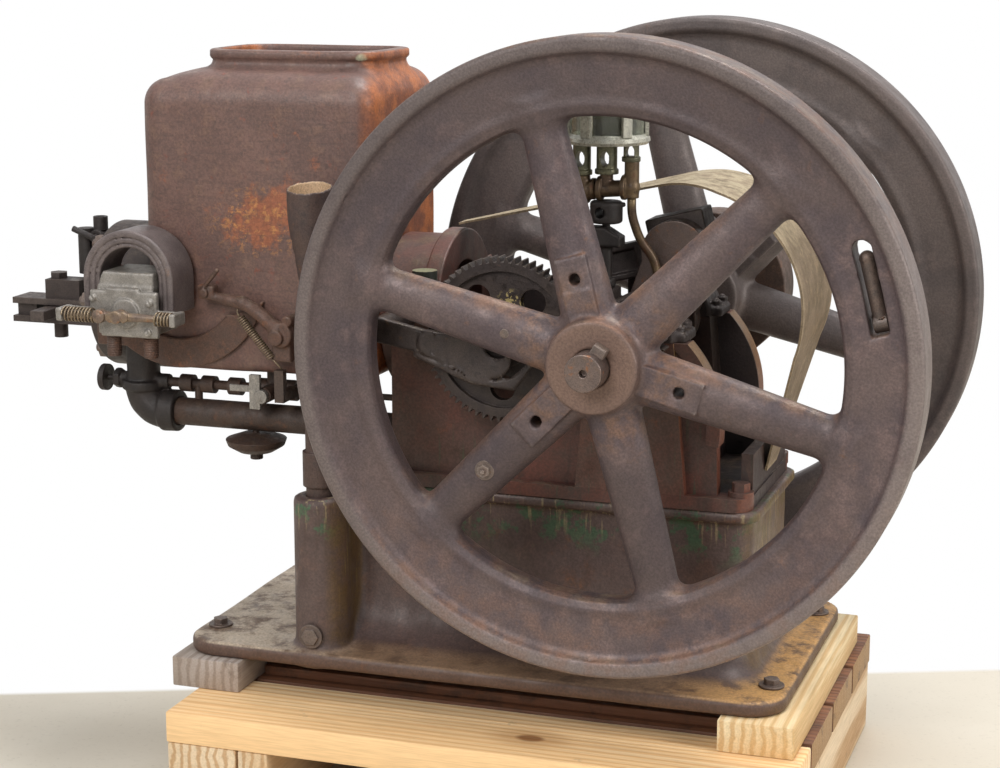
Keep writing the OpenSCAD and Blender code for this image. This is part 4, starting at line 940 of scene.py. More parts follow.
def profileTable(outline, step=0.5):
    # signed distance to a section that is the same above and below its middle line, on a small grid
    points = np.array(list(outline) + [(r, -w) for r, w in reversed(outline)], float)
    rs, ws = np.arange(240, 372, step), np.arange(-44, 44 + step, step)
    r, w = np.meshgrid(rs, ws, indexing="ij")
    best, inside = np.full(r.shape, 1e9), np.zeros(r.shape, bool)
    for (ax, ay), (bx, by) in zip(points, np.roll(points, -1, 0)):
        along = ((r - ax) * (bx - ax) + (w - ay) * (by - ay)) / ((bx - ax) ** 2 + (by - ay) ** 2)
        along = np.clip(along, 0, 1)
        best = np.minimum(best, np.hypot(r - ax - along * (bx - ax), w - ay - along * (by - ay)))
        if by != ay:
            inside ^= ((w < ay) != (w < by)) & (r < ax + (w - ay) / (by - ay) * (bx - ax))
    table = np.where(inside, -best, best)

    def distance(radius, height):
        a, b = np.clip(radius, rs[0], rs[-2] - 1e-6), np.clip(height, ws[0], ws[-2] - 1e-6)
        i, j = ((a - rs[0]) / step).astype(int), ((b - ws[0]) / step).astype(int)
        s, t = (a - rs[i]) / step, (b - ws[j]) / step
        under, over = (table[i, k] * (1 - s) + table[i + 1, k] * s for k in (j, j + 1))
        return under * (1 - t) + over * t + np.hypot(radius - a, height - b)

    return distance


rimDistance = profileTable(wheel["profile"])


def alongArm(u, v, angle):
    # u and v turned so that the first runs along an arm and the second across it
    c, s = math.cos(math.radians(angle)), math.sin(math.radians(angle))
    return u * c + v * s, v * c - u * s


def wheelField(side, pads, hole, slot):
    def field(p):
        u, v, w = p[:, 0], p[:, 2], p[:, 1] * side - wheel["mid"]
        r = np.hypot(u, v)
        arms = None
        start, run = wheel["taper"]
        for angle in wheel["arms"]:
            a, b = alongArm(u, v, angle)
            share = np.clip((a - start) / run, 0, 1)
            wide, thick = (first + (last - first) * share for first,
                           last in (wheel["armWide"], wheel["armThick"]))
            k1 = np.hypot(b / wide, w / thick)
            k2 = np.maximum(np.hypot(b / wide ** 2, w / thick ** 2), 1e-5)
            arm = np.maximum(np.maximum(k1 * (k1 - 1) / k2, wheel["armRun"][0] - a), a - wheel["armRun"][1])
            arms = arm if arms is None else smoothMin(arms, arm, wheel["armFillet"])
        # the hub, with a low ring round its face
        hub = raised(r - wheel["hub"], np.abs(w) - wheel["hubHalf"], 4)
        hub = np.minimum(hub, raised(r - wheel["hub"] + 9, np.abs(w) - wheel["hubHalf"], 2))
        body = smoothMin(smoothMin(rimDistance(r, w), arms, wheel["rimFillet"]), hub, wheel["hubFillet"])
        for angle in pads:
            a, b = alongArm(u, v, angle)
            for reach, half, corner in (wheel["lowerPad"], wheel["upperPad"]):
                body = np.minimum(body, roundBox(a - reach, b, w, half, corner))
            # a filed groove between the two steps, and the bolt hole
            grooveAt, grooveHigh, grooveRadius = wheel["groove"]
            body = np.maximum(body, grooveRadius - np.hypot(a - grooveAt, np.abs(w) - grooveHigh))
            body = np.maximum(body, hole[1] - np.hypot(a - hole[0], b))
        if slot:
            # a long slot with one round end, bent with the rim
            a, b = alongArm(u, v, wheel["slotAngle"])
            bend = a - wheel["slotRadius"] + (b - 20) ** 2 / wheel["slotBend"]
            straight = roundSquare(bend, b - 20, wheel["slotHalf"], 46, 2)
            body = np.maximum(body, -np.minimum(straight, np.hypot(bend, b - 66) - wheel["slotHalf"]))
        return np.maximum(body, wheel["bore"] - r)

    return field


def makeWheel(name, node, side, pads, hole, slot, material):
    # the grid's planes stand clear of the wheel's flat faces, so that every face is cut cleanly
    axes = (np.arange(16.7, 361, wheel["grain"]), np.linspace(0, 2 * math.pi, wheel["turns"] + 1),
            np.arange(-47, 48, wheel["grain"]))

    def place(grid):
        r, turn, w = grid.T
        return np.stack([r * np.cos(turn), side * (w + wheel["mid"]), r * np.sin(turn)], 1)

    mesh = castMesh(name, wheelField(side, pads, hole, slot), axes, place, closed=True)
    return newPiece(name, mesh, "crank", slotOf(node), material, stands=(node,))


nearWheel = makeWheel("nearWheel", "flywheel_near", -1, (105, 225, -15), (96, 6.6), True, wheelIron)
farWheel = makeWheel("farWheel", "flywheel_far", 1, (45, 165, 285), (90, 5.6), False, wheelIronFar)
print("wheels made", len(nearWheel.data.polygons), len(farWheel.data.polygons))

# base casting

base = {"centre": -171.5, "half": (372.5, 209), "corner": 45, "under": -408, "top": -390, "boxFrom": -400,
        "boxTo": 142, "boxHalf": 113, "joint": -194, "flangeHalf": 124, "flare": 54, "flareFall": 17,
        "column": (-372, -168, 32), "columnBore": 16.9, "boltAt": (349.5, 143.5), "boltHole": 8.5,
        "plugSeat": (-370, 16), "wave": 0.35}


def baseField(p):
    x, y, z = p.T
    under, joint = base["under"], base["joint"]
    thick = (base["top"] - under) / 2
    plate = roundSquare(x - base["centre"], y, *base["half"], base["corner"])
    plate = raised(plate, np.abs(z - under - thick) - thick, 5)
    # the box flares out to the plate, and ends in a flange under the crankcase
    rise = np.maximum(z - base["top"], 0)
    flare = base["flare"] * np.exp(-rise / base["flareFall"]) * (rise < 175)
    middle, half = (base["boxFrom"] + base["boxTo"]) / 2, (base["boxTo"] - base["boxFrom"]) / 2
    box = roundSquare(x - middle, y, half + flare * 0.35, base["boxHalf"] + flare, 24 + flare * 0.5)
    box = np.maximum(np.maximum(box * 0.8, z - joint + 6), under + 8 - z)
    flange = roundSquare(x - middle - 2.5, y, half + 7.5, base["flangeHalf"], 26)
    flange = raised(flange, np.abs(z - joint + 6.5) - 6.5, 4)
    # the filler's column and the web that joins it to the box
    cx, cy, radius = base["column"]
    fromColumn = np.hypot(x - cx, y - cy)
    stem = raised(np.maximum(fromColumn - radius, under + 4 - z), z - joint + 8, 9)
    reach = base["boxHalf"]
    web = np.maximum(roundSquare(x - cx, y - (cy - reach) / 2, radius - 4, (cy + reach) / -2, 2),
                     z - joint + 18)
    web = np.maximum(web, under + 4 - z)
    body = smoothMin(smoothMin(smoothMin(smoothMin(plate, box, 9), flange, 7), web, 10), stem, 13)
    body = np.maximum(body, np.minimum(base["columnBore"] - fromColumn, z - joint + 30))
    for sx in (-1, 1):
        for sy in (-1, 1):
            bolt = np.hypot(x - base["centre"] - sx * base["boltAt"][0], y - sy * base["boltAt"][1])
            body = np.maximum(body, base["boltHole"] - bolt)
    seatAt, seatRadius = base["plugSeat"]
    body = np.maximum(body,
                      -roundSquare(np.hypot(x - cx, z - seatAt), y - cy + radius + 4, seatRadius, 4, 0.5))
    # the foundry's slight waves
    return body + base["wave"] * np.sin(x / 31) * np.sin(z / 27 + 1) * np.sin(y / 33 + x / 90)


baseCasting = cast("baseCasting", "base_casting", baseField, (-550, -215, -414), (208, 216, -188), 4,
                   basePaint)
print("base made", len(baseCasting.data.polygons))

# water hopper

tank = {"middle": -475, "half": (153, 118), "corner": 29, "low": -71, "high": 298, "wall": 9, "mouth": -448,
        "neckHalf": (110, 72), "neckCorner": 34, "camber": 12, "jacket": (76, 64), "spout": (-352, -66),
        "chip": (-346, -76, 309), "chipRadius": 8}


def hopperField(p):
    x, y, z = p.T
    low, high, wall = tank["low"], tank["high"], tank["wall"]
    wave = 0.7 * np.sin(x / 47 + 1) * np.sin(z / 53) + 0.5 * np.sin(y / 29 + z / 71)
    wave += 0.25 * np.sin(x / 17 + z / 23)
    flat = roundSquare(x - tank["middle"], y, *tank["half"], tank["corner"])
    # the top falls away from the neck
    neckFlat = roundSquare(x - tank["mouth"], y, *tank["neckHalf"], tank["neckCorner"])
    fall = tank["camber"] * np.clip(neckFlat / 58, 0, 1) ** 1.2
    outside = np.maximum(raised(flat, (z - high + fall) * 0.97, 30), raised(flat, low - z, 12)) + wave
    hollow = np.maximum(raised(flat + wall, z - high + fall + wall, 22),
                        raised(flat + wall, low + wall - z, 8))
    neck = raised(neckFlat, np.abs(z - 294) - 25, 2)
    # the rolled lip is thicker at the spout corner
    spout = np.exp(-((x - tank["spout"][0]) ** 2 + (y - tank["spout"][1]) ** 2) / 900)
    lip = raised(neckFlat - 4 - spout * 1.5, np.abs(z - 314 - spout * 1.2) - 5.5, 3) + wave * 0.5
    outer, inner = tank["jacket"]
    jacket = np.maximum(np.hypot(y, z) - outer, np.abs(x - tank["middle"]) - 150)
    body = np.maximum(smoothMin(outside, neck, 12), -hollow)
    body = smoothMin(smoothMin(body, lip, 3), jacket, 8)
    mouth = np.maximum(roundSquare(x - tank["mouth"], y, 101, 63, 25), 262 - z)
    # chipped corner of the lip
    cx, cy, cz = tank["chip"]
    chip = np.sqrt((x - cx) ** 2 + (y - cy) ** 2 + (z - cz) ** 2) - tank["chipRadius"]
    chip -= 2 * np.sin(x / 2.3) * np.sin(z / 1.9)
    body = np.maximum(np.maximum(body, -mouth), -chip)
    return np.maximum(body, inner - np.hypot(y, z))


hopper = cast("waterHopper", "water_hopper", hopperField, (-633, -122.4, -77), (-319.6, 123, 327), 3.6,
              hopperPaint)
print("hopper made", len(hopper.data.polygons))

# the stand's timber, in millimetres from the frame's own zero; stringers are (middle, width)
stand = {"stringers": ((-299, 89), (-233, 38), (0, 89), (357, 89), (291, 38)), "stringerFrom": -307,
         "stringerTo": 249, "stringerHigh": 89, "deckX": (-345, 403), "deckHigh": 127, "deckWide": 133,
         "deckStep": 141, "deckCount": 4, "thinBoard": ((-288, -150, 127), (297, -20, 139)),
         "bearerFrom": -222, "bearerTo": 208, "bearerHigh": 165, "bearerWide": 89, "wear": 2.2}


def plank(low, high, along, seed=0):
    # a sawn board with worn edges and a slight wander
    shape = bmesh.new()
    bmesh.ops.create_cube(shape, size=1)
    low, high = Vector(low), Vector(high)
    for v in shape.verts:
        v.co = Vector(((v.co[i] + 0.5) * (high[i] - low[i]) + low[i] for i in range(3))) * mm
    bmesh.ops.bevel(shape, geom=shape.edges[:], offset=stand["wear"] * mm, segments=2, affect="EDGES",
                    profile=0.55)
    axis = "XYZ".index(along)
    long = [e for e in shape.edges if abs((e.verts[0].co - e.verts[1].co)[axis]) > 0.1]
    bmesh.ops.subdivide_edges(shape, edges=long, cuts=26, use_grid_fill=True)
    for v in shape.verts:
        sway = noise.noise(v.co * 9 + Vector((seed, 0, 0))) * 0.5
        sway += noise.noise(v.co * 60 + Vector((0, seed, 0))) * 0.45
        inward = (low + high) / 2 * mm - v.co
        inward[axis] = 0
        v.co += inward.normalized() * (abs(sway) + 0.1) * 0.9 * mm
    mesh = bpy.data.meshes.new("plank")
    shape.to_mesh(mesh)
    shape.free()
    mesh.shade_smooth()
    return mesh


def timberPiece(name, node, boards, materials):
    # boards are (low, high, grain, material number)
    meshes = []
    for count, (low, high, along, index) in enumerate(boards):
        mesh = plank(low, high, along, seed=count * 7.3)
        for polygon in mesh.polygons:
            polygon.material_index = index
        meshes.append(mesh)
    piece = newPiece(name, joined(name, meshes), "engine_frame", slotOf(node), *materials, stands=(node,))
    piece.data.shade_smooth()
    piece.data.set_sharp_from_angle(angle=math.radians(38))


low, high = stand["stringerFrom"], stand["stringerHigh"]
stringers = [((x - w / 2, low, 0), (x + w / 2, stand["stringerTo"], high), "Y", 0) for x,
             w in stand["stringers"]]
timberPiece("standStringers", "pallet_stringers", stringers, [stringerPine])
deck = []
for count in range(stand["deckCount"]):
    start = low + count * stand["deckStep"]
    deck.append(((stand["deckX"][0], start, high),
                 (stand["deckX"][1], start + stand["deckWide"], stand["deckHigh"]), "X", min(count, 1)))
deck.append((*stand["thinBoard"], "X", 1))
timberPiece("standDeck", "pallet_deck", deck, [freshPine, stainedPine])
bearerLow, bearerHigh = (corner.x * 1000 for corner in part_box("bearers"))
bearerBoards = [((x, stand["bearerFrom"], stand["deckHigh"]),
                 (x + stand["bearerWide"], stand["bearerTo"], stand["bearerHigh"]), "Y", index)
                for index, x in enumerate((bearerLow, bearerHigh - stand["bearerWide"]))]
timberPiece("bearerBoards", "bearers", bearerBoards, [greyPine, palePine])
print("stand made")

# the solids that keep their shape get rounded edges; the number is the bevel's width in millimetres
finishes = {
    "base_bolts": (boltSteel, 0.9), "crankcase_floor": (casePaint, 2.4), "crankcase_near": (casePaint, 2.2),
    "crankcase_far": (casePaint, 2.0), "cylinder": (casePaint, 2.5), "cylinder_head": (darkIron, 3.0),
    "head_nuts": (boltSteel, 0.9), "piston": (forgedSteel, 1.0), "crankshaft": (forgedSteel, 1.5),
    "crank_pinion": (oilyGear, 0.5), "belt_pulley": (pulleyFibre, 2.0), "starting_handle": (boltSteel, 1.0),
    "connecting_rod": (rodIron, 2.2), "timing_gear": (oilyGear, 0.5), "rocker_bracket": (darkIron, 1.2),
    "rocker_arm": (darkIron, 1.0), "pushrod": (forgedSteel, 0.8), "priming_cup": (charredIron, 0.7),
    "priming_handle": (charredIron, 0.5), "intake_pipe": (pipeRust, 0.8), "air_valve": (pipeRust, 0.8),
    "needle_valve": (charredIron, 0.7), "fuel_line": (pipeRust, 0.7), "fuel_lever": (zincAlloy, 0.7)}

# these have short edges, so their bevels are kept from crossing
tight = ("crankcase_floor", "crankcase_near", "crankcase_far", "rocker_bracket", "fuel_line")
for node, (material, width) in finishes.items():
    dress(node, material, width, clamp=node in tight)
print("solids dressed")

elbow = {"x": -651, "y": -80, "z": -134, "bend": 30, "radius": 23.5, "plugZ": -97, "clear": 94.3}


def elbowField(p):
    x, y, z = p.T
    ex, ey, ez, bend, plug = elbow["x"], elbow["y"], elbow["z"], elbow["bend"], elbow["plugZ"]
    ring = np.hypot(np.hypot(x - ex - bend, z - ez - bend) - bend, y - ey) - elbow["radius"]
    ring = np.maximum(ring, np.maximum(x - ex - bend - 2, z - ez - bend - 2))
    body = blend(4, ring, pin(p, "z", (ex, ey), 21, ez + bend - 4, -46.2, 0.8))
    body = blend(4, body, pin(p, "x", (ey, plug), 9.5, ex - 39.5, ex + 37.5, 1.5))
    # the two collars and the plug's head
    body = blend(3, body, pin(p, "z", (ex, ey), 27.5, ez + bend - 4, ez + bend + 8, 2.5))
    body = blend(3, body, pin(p, "x", (ey, ez), 26.5, ex + bend - 2, ex + bend + 20, 2.5))
    body = np.minimum(body, hexPin(p, "x", (ey, plug), 23, ex - 39, ex - 30, 1))
    body = np.maximum(body, elbow["clear"] - np.hypot(y, z))
    body = np.maximum(body, np.minimum(17.8 - np.hypot(y - ey, z - ez), x - ex - bend - 2))
    return body + 0.3 * np.sin(x / 5) * np.sin(z / 6 + y / 7)


cast("elbowCasting", "intake_elbow", elbowField, (-694, -111, -162), (-596, -49, -43), 2.0, charredIron)

magneto = {"x": -614, "z": 8, "front": -196, "rear": -124.5,
           "screws": ((-654, 27), (-577.5, 24), (-580.5, -12)), "posts": 76,
           "nuts": ((-7, 11, 21.5), (10, 12.5, 20)), "yoke": (-29, 48), "studs": (-638, -588),
           "studRadius": 8.7}


def housingField(p):
    x, y, z = p.T
    mx, front, rear = magneto["x"], magneto["front"], magneto["rear"]
    plate = slab(p, (-659, front, -19.5), (-568, front + 8, 37), 3)
    plate = np.minimum(plate, slab(p, (-637, front, 20), (-592, front + 8, 40.5), 3))
    plate = np.maximum(plate, -slab(p, (-670, front - 5, -40), (-645, front + 20, 3), 3))
    body = np.minimum(plate, slab(p, (-652, front + 6, -18), (-576, rear, 43), 3))
    # the cap slopes in on its left side
    cap = np.maximum(slab(p, (-650, front + 7, 38), (-576, rear, 59), 3), (-x - 652 + (z - 38) * 0.42) * 0.92)
    body = blend(2, body, cap)
    body = blend(2, body, pin(p, "y", (-610, 10), 18, front - 3.6, front + 2, 1.5))
    for sx, sz in magneto["screws"]:
        head = pin(p, "y", (sx, sz), 4.6, front - 2.6, front + 1, 1)
        slot = roundSquare(((x - sx) * 0.8 + (z - sz) * 0.6), y - front + 2.6, 0.8, 1.4, 0.1)
        body = np.minimum(body, np.maximum(head, -slot))
    for s in (-1, 1):
        postX, armX = mx + s * magneto["posts"], sorted((mx + s * 40, mx + s * 80))
        post = slab(p, (postX - 4, front - 21.8, 0), (postX + 4, front + 6, 16), 2)
        body = blend(2, body, post, slab(p, (armX[0], front + 1.5, 1), (armX[1], front + 7, 15), 2))
    return body + 0.18 * np.sin(x / 4) * np.sin(z / 5 + y / 6)


cast("magnetoCase", "magneto_housing", housingField, (-698, -221, -24), (-530, -121, 64), 1.7, zincAlloy)


def rotorField(p):
    x, y, z = p.T
    mx, mz, front = magneto["x"], magneto["z"], magneto["front"]
    body = pin(p, "y", (mx, mz), 7.9, front - 21.5, front + 59, 1)
    left, right = ((mx + reach, front - 13, mz) for reach in magneto["yoke"])
    body = blend(2, body, np.maximum(limb(p, left, right, 6.5, 4.5), np.abs(y - front + 13) - 4.9))
    for beside, across, reach in magneto["nuts"]:
        spot = (mx + beside, mz + beside * 0.05)
        body = np.minimum(body, hexPin(p, "y", spot, across, front - reach, front - 10, 1))
    body = np.minimum(body, pin(p, "y", (mx - 23, mz), 8.5, front - 21, front - 8.5, 2))
    return np.minimum(body, hexPin(p, "y", (mx - 23, mz), 8.5, front - 22, front - 12, 0.8, 0.4))


cast("rotorYoke", "magneto_rotor", rotorField, (-648, -221, -8), (-560, -134, 24), 1.4, rotorBronze)


def studsField(p):
    # the two rusty studs under the magneto's case
    studs = [pin(p, "z", (sx, -176), magneto["studRadius"], -46, -17.5, 1) for sx in magneto["studs"]]
    return np.min(studs, 0) + 0.7 * np.sin(p[:, 2] * 2.2)


cast("magnetoStuds", "magneto_housing", studsField, (-650, -188, -50), (-576, -164, -14), 1.2, malleable,
     stands=False)

# each ring is (middle radius, half thickness, front)
magnet = {"x": -614, "bendZ": 48, "rings": ((56.2, 4.2, -182), (48.2, 3.4, -180.5), (41.9, 2.6, -178.5)),
          "rear": -124.1, "foot": 8.1}


def magnetField(p):
    x, y, z = p.T
    fromBend = x - magnet["x"]
    radial = np.where(z > magnet["bendZ"], np.hypot(fromBend, z - magnet["bendZ"]), np.abs(fromBend))
    rings = []
    for mid, half, front in magnet["rings"]:
        centre, reach = (front + magnet["rear"]) / 2, (magnet["rear"] - front) / 2
        rings.append(raised(np.abs(radial - mid) - half, np.abs(y - centre) - reach, 2.2))
    return np.maximum(np.min(rings, 0), magnet["foot"] - z)


cast("horseshoeMagnets", "magnets", magnetField, (-678, -185, 4), (-550, -120, 112), 1.8, magnetSteel)

bracket = {"centre": (-579, 53), "arc": (84.5, 121.5), "mid": -121, "half": 2.8, "clear": 94.4}


def bracketField(p):
    x, y, z = p.T
    body = slab(p, (-691.5, -123.8, -45.8), (-631.5, -40.5, 49.5), 3)
    inner, outer = bracket["arc"]
    r = np.hypot(x - bracket["centre"][0], z - bracket["centre"][1])
    plate = raised(np.maximum(r - outer, inner - r), np.abs(y - bracket["mid"]) - bracket["half"], 1)
    plate = np.maximum(plate, z - 2 - np.maximum(x + 500, 0) * 0.5)
    body = np.minimum(body, np.maximum(plate, -x - 692))
    return np.maximum(body, bracket["clear"] - np.hypot(y, z))


cast("magnetoBracket", "magneto_bracket", bracketField, (-696, -128, -72), (-452, -36, 54), 2.2, malleable)

# the path's points are (x, z, radius)
trip = {"y": -136, "hub": (-433, -16), "hubRadius": 15.5, "rear": -118.2, "clamp": (-531, 31),
        "path": ((-436, -17, 9.5), (-439.5, -10, 9), (-453.5, 2, 8.5), (-467, 12, 8.3), (-483.5, 19.8, 8),
                 (-501, 22.5, 7), (-524, 26, 5))}


def tripField(p):
    x, y, z = p.T
    across, rear = trip["y"], trip["rear"]
    body = pin(p, "y", trip["hub"], trip["hubRadius"], -143, rear, 2)
    for a, b in zip(trip["path"], trip["path"][1:]):
        body = blend(3, body, limb(p, (a[0], across, a[1]), (b[0], across, b[1]), a[2], b[2]))
    body = blend(3, body, slab(p, (-446, -137, -50), (-421, -119, -14), 2.5))
    body = blend(1.5, body, pin(p, "y", (-437, -19), 9.5, -148, -140, 1.5))
    body = blend(1.5, body, pin(p, "y", (-424, 1), 6.5, -142, rear, 1.5))
    # clamp with its thumb lever
    body = blend(2, body, slab(p, (-541, -143, 22), (-519, -126, 40), 3))
    body = blend(2, body, limb(p, (-533, -143, 36), (-512, -145, 60), 2.6))
    body = np.minimum(body, pin(p, "y", trip["clamp"], 5.5, -147.5, -120, 1))
    return body + 0.35 * np.sin(x / 6) * np.sin(z / 5)


cast("tripArm", "trip_arm", tripField, (-545, -151, -54), (-414, -115, 64), 1.8, malleable)

# the blade's points are (x, z)
cam = {"y": -187, "pivot": (-284, 8), "roller": (-222, -4), "end": (-158, -20), "eye": (-146, -21), "half": 6,
       "bladeY": -189, "blade": ((-238, -18), (-170, -45), (-122, -46), (-103, -24)), "shaft": -141.7}


def camField(p):
    x, y, z = p.T
    pivot, roller, end = ((cam[spot][0], cam["y"], cam[spot][1]) for spot in ("pivot", "roller", "end"))
    arm = blend(5, limb(p, pivot, roller, 15, 14), limb(p, roller, end, 14, 27))
    arm = np.maximum(arm, np.abs(y - cam["y"]) - cam["half"])
    first, second, third, last = ((bx, cam["bladeY"], bz) for bx, bz in cam["blade"])
    blade = np.minimum(limb(p, first, second, 4), limb(p, second, third, 4, 7))
    body = blend(3, arm, np.minimum(blade, limb(p, third, last, 7, 4)))
    body = blend(2, body, pin(p, "y", cam["eye"], 21, -199, -180, 3))
    body = blend(2, body, pin(p, "y", cam["pivot"], 15.5, -190, -112.2, 2))
    body = blend(2, body, slab(p, (-200, -197, -22), (-181, -183, 6), 2))
    body = np.minimum(body, pin(p, "y", cam["roller"], 15, -196, -184, 1.5))
    body = np.minimum(body, hexPin(p, "y", cam["roller"], 19, -202, -190, 1.2, 0.2))
    return np.maximum(body, 18.2 - np.hypot(x - cam["shaft"], z) + np.maximum(-y - 186, 0) * 9)


cast("camLever", "cam_lever", camField, (-303, -205, -58), (-92, -108, 30), 2.0, oilyGear)

cap = {"outer": 124, "inner": 59, "top": 14, "radius": 49.8, "bore": 21.3, "nutX": (-54, 54),
       "nutY": (-108, -76)}


def capField(p):
    # both bearing caps, the far one mirrored from the near one
    x, y, z = p.T
    p = np.stack([x, -np.abs(y), z], 1)
    body = pin(p, "y", (0, 0), cap["radius"], -cap["outer"], -cap["inner"], 3)
    body = blend(6, body, slab(p, (-63, -118, -10), (63, -64.5, cap["top"] - 2), 5))
    body = blend(3, body, slab(p, (-56, -106, 20), (-28, -63.5, 54.7), 3))
    for nx in cap["nutX"]:
        for ny in cap["nutY"]:
            body = np.minimum(body, hexPin(p, "z", (nx, ny), 12, 8, 18.5, 1, 0.3))
            body = np.minimum(body, pin(p, "z", (nx, ny), 3.4, 8, 21, 0.8))
    return np.max([body, 0.2 - z, cap["bore"] - np.hypot(x, z), cap["inner"] + p[:, 1]], 0)


cast("bearingCaps", "bearing_caps", capField, (-76, -128, -4), (76, 128, 60), 2.2, darkIron)

filler = {"x": -372, "y": -168, "lean": -6.5, "swellZ": (-230, 45, 110, 130, 175),
          "swell": (16.6, 16.6, 25, 26.5, 27), "rim": 168, "rimSlope": 0.17, "under": -223.5, "bore": 13.4,
          "collar": 20, "tear": (-405, -172, 97), "tearSize": 9.5}


def fillerField(p):
    x, y, z = p.T
    fx, fy = filler["x"], filler["y"]
    lean = np.clip((z - 10) / 130, 0, 1) * filler["lean"]
    r = np.hypot(x - fx - lean, y - fy)
    swell = np.interp(z, filler["swellZ"], filler["swell"])
    shell = np.maximum((r - swell) * 0.96, z - filler["rim"] - (y - fy) * filler["rimSlope"])
    inside = np.maximum((r - swell + np.where(z > 60, 2.2, 3)) * 0.96, -198 - z)
    body = np.maximum(np.maximum(shell, -inside), filler["under"] - z)
    body = np.minimum(body,
                      np.maximum(np.hypot(x - fx, y - fy) - filler["collar"], np.abs(z + 169) - 21) - 0.2)
    body = np.maximum(body, np.where(z < 40, filler["bore"] - r, -9))
    # seam torn open on one side by rust
    tx, ty, tz = filler["tear"]
    tear = np.sqrt(((z - tz) / 3.2) ** 2 + ((x - tx - (tz - z) * 0.25) * 0.8) ** 2 + ((y - ty) * 0.4) ** 2)
    return np.maximum(body, (filler["tearSize"] + 0.9 * np.sin(z / 2.7) - tear) * 0.4)


fillerAxes = (np.arange(-411, -338, 1.3), np.arange(-201, -134, 1.3), np.arange(-228, 178, 2))
newPiece("fillerPipe", castMesh("fillerPipe", fillerField, fillerAxes), "engine_frame", slotOf("filler_pipe"),
         funnelTin, stands=("filler_pipe",))

# outlines are (radius, height); the knobs' are turned about their own axes
oiler = {"x": -42, "y": -84,
         "lid": [(0, 292), (8, 292), (44, 291), (49, 289), (49.5, 285), (46, 283), (0, 283)],
         "foot": [(0, 234), (44, 234), (46, 232), (49.5, 230), (49.8, 226), (47, 222.5), (0, 222.5)],
         "knob": [(0, 302), (4.5, 302), (6, 300.5), (6, 295), (3, 294), (3, 290), (0, 290)],
         "knobAt": (0.4, 2.0, 3.6, 5.2), "knobReach": 28, "straps": 6, "firstStrap": 15, "glass": (41, 43.2),
         "low": 233, "high": 284}
cx, cy = oiler["x"], oiler["y"]
lid, foot = (turned(name, oiler[name], (cx, cy, 0), sides=72) for name in ("lid", "foot"))
straps = []
for count in range(oiler["straps"]):
    turn = Matrix.Rotation(math.radians(oiler["firstStrap"] + 60 * count), 4, "Z")
    spin = Matrix.Translation((cx, cy, 0)) @ turn @ Matrix.Translation((-cx, -cy, 0))
    straps.append(block("strap", (cx + 43.2, cy - 6, 232), (cx + 48, cy + 6, 285), 0.8, spin))
reach = oiler["knobReach"]
knobs = [turned("adjuster", oiler["knob"], (cx + reach * math.cos(a), cy + reach * math.sin(a), 0), sides=20)
         for a in oiler["knobAt"]]
newPiece("oilerFrame", joined("oilerFrame", [lid, foot, *straps, *knobs]), "engine_frame", slotOf("oiler"),
         nickelPlate, stands=("oiler",))
low, high = oiler["low"], oiler["high"]
core = turned("oilerCore", [(0, high), (30, high), (30, low), (0, low)], (cx + 4, cy, 0), sides=40)
newPiece("oilerCore", core, "engine_frame", slotOf("oiler"), charredIron)
inner, outer = oiler["glass"]
pane = [(inner, high), (outer, high), (outer, low), (inner, low), (inner, high)]
newPiece("oilerPane", turned("oilerPane", pane, (cx, cy, 0), sides=72), "engine_frame", slotOf("oiler"),
         oilerGlass)

# cages are (x, low, high, radius) and rings (x, radius)
feeds = {"cages": ((-72, 186, 222, 10.5), (-42, 188, 222, 12), (-13, 203, 222, 9)),
         "rings": ((-58, 12.5), (-50, 14.5), (-21, 14.5)), "pipeRadius": 5.2, "pipeCorner": 16,
         "pipe": [(-12, cy, 164), (-12, cy + 1, 140), (-4, -74, 110), (12, -67, 88), (18, -66, 55)]}


def feedsField(p):
    x, y, z = p.T
    cages = []
    for fx, low, high, width in feeds["cages"]:
        window = np.sqrt(((x - fx) / 0.62) ** 2 + ((z - (low + high) / 2) / 1.05) ** 2) - 8.5
        cage = np.maximum(pin(p, "z", (fx, cy), width, low, high, 1), -window)
        cages.append(np.minimum(cage, pin(p, "z", (fx, cy), width + 1.8, low - 1, low + 5, 1)))
    return np.min(cages, 0)


cast("sightFeeds", "oil_feeds", feedsField, (-87, -100, 182), (1, -68, 224), 1.3, feedGreen, stands=False)


def headerField(p):
    body = pin(p, "z", (-72, cy), 10, 152, 186, 3)
    body = blend(4, body, limb(p, (-72, cy, 164), (-60, cy, 168), 10.5))
    body = blend(2, body, limb(p, (-60, cy, 168), (-12, cy, 172), 9.5))
    for fx, r in feeds["rings"]:
        body = np.minimum(body, pin(p, "x", (cy, 169 + (fx + 60) * 0.08), r, fx - 2.5, fx + 3.5, 1.6))
    body = blend(2, body, pin(p, "z", (-12, cy), 8.5, 160, 204, 1))
    return blend(2, body, pin(p, "z", (-42, cy), 7.5, 168, 189, 1))


cast("oilHeader", "oil_feeds", headerField, (-88, -100, 149), (2, -67, 206), 1.5, feedBrass)
newPiece("oilPipe", tubeAlong("oilPipe", feeds["pipe"], feeds["pipeRadius"], corner=feeds["pipeCorner"]),
         "engine_frame", slotOf("oil_feeds"), feedBrass)


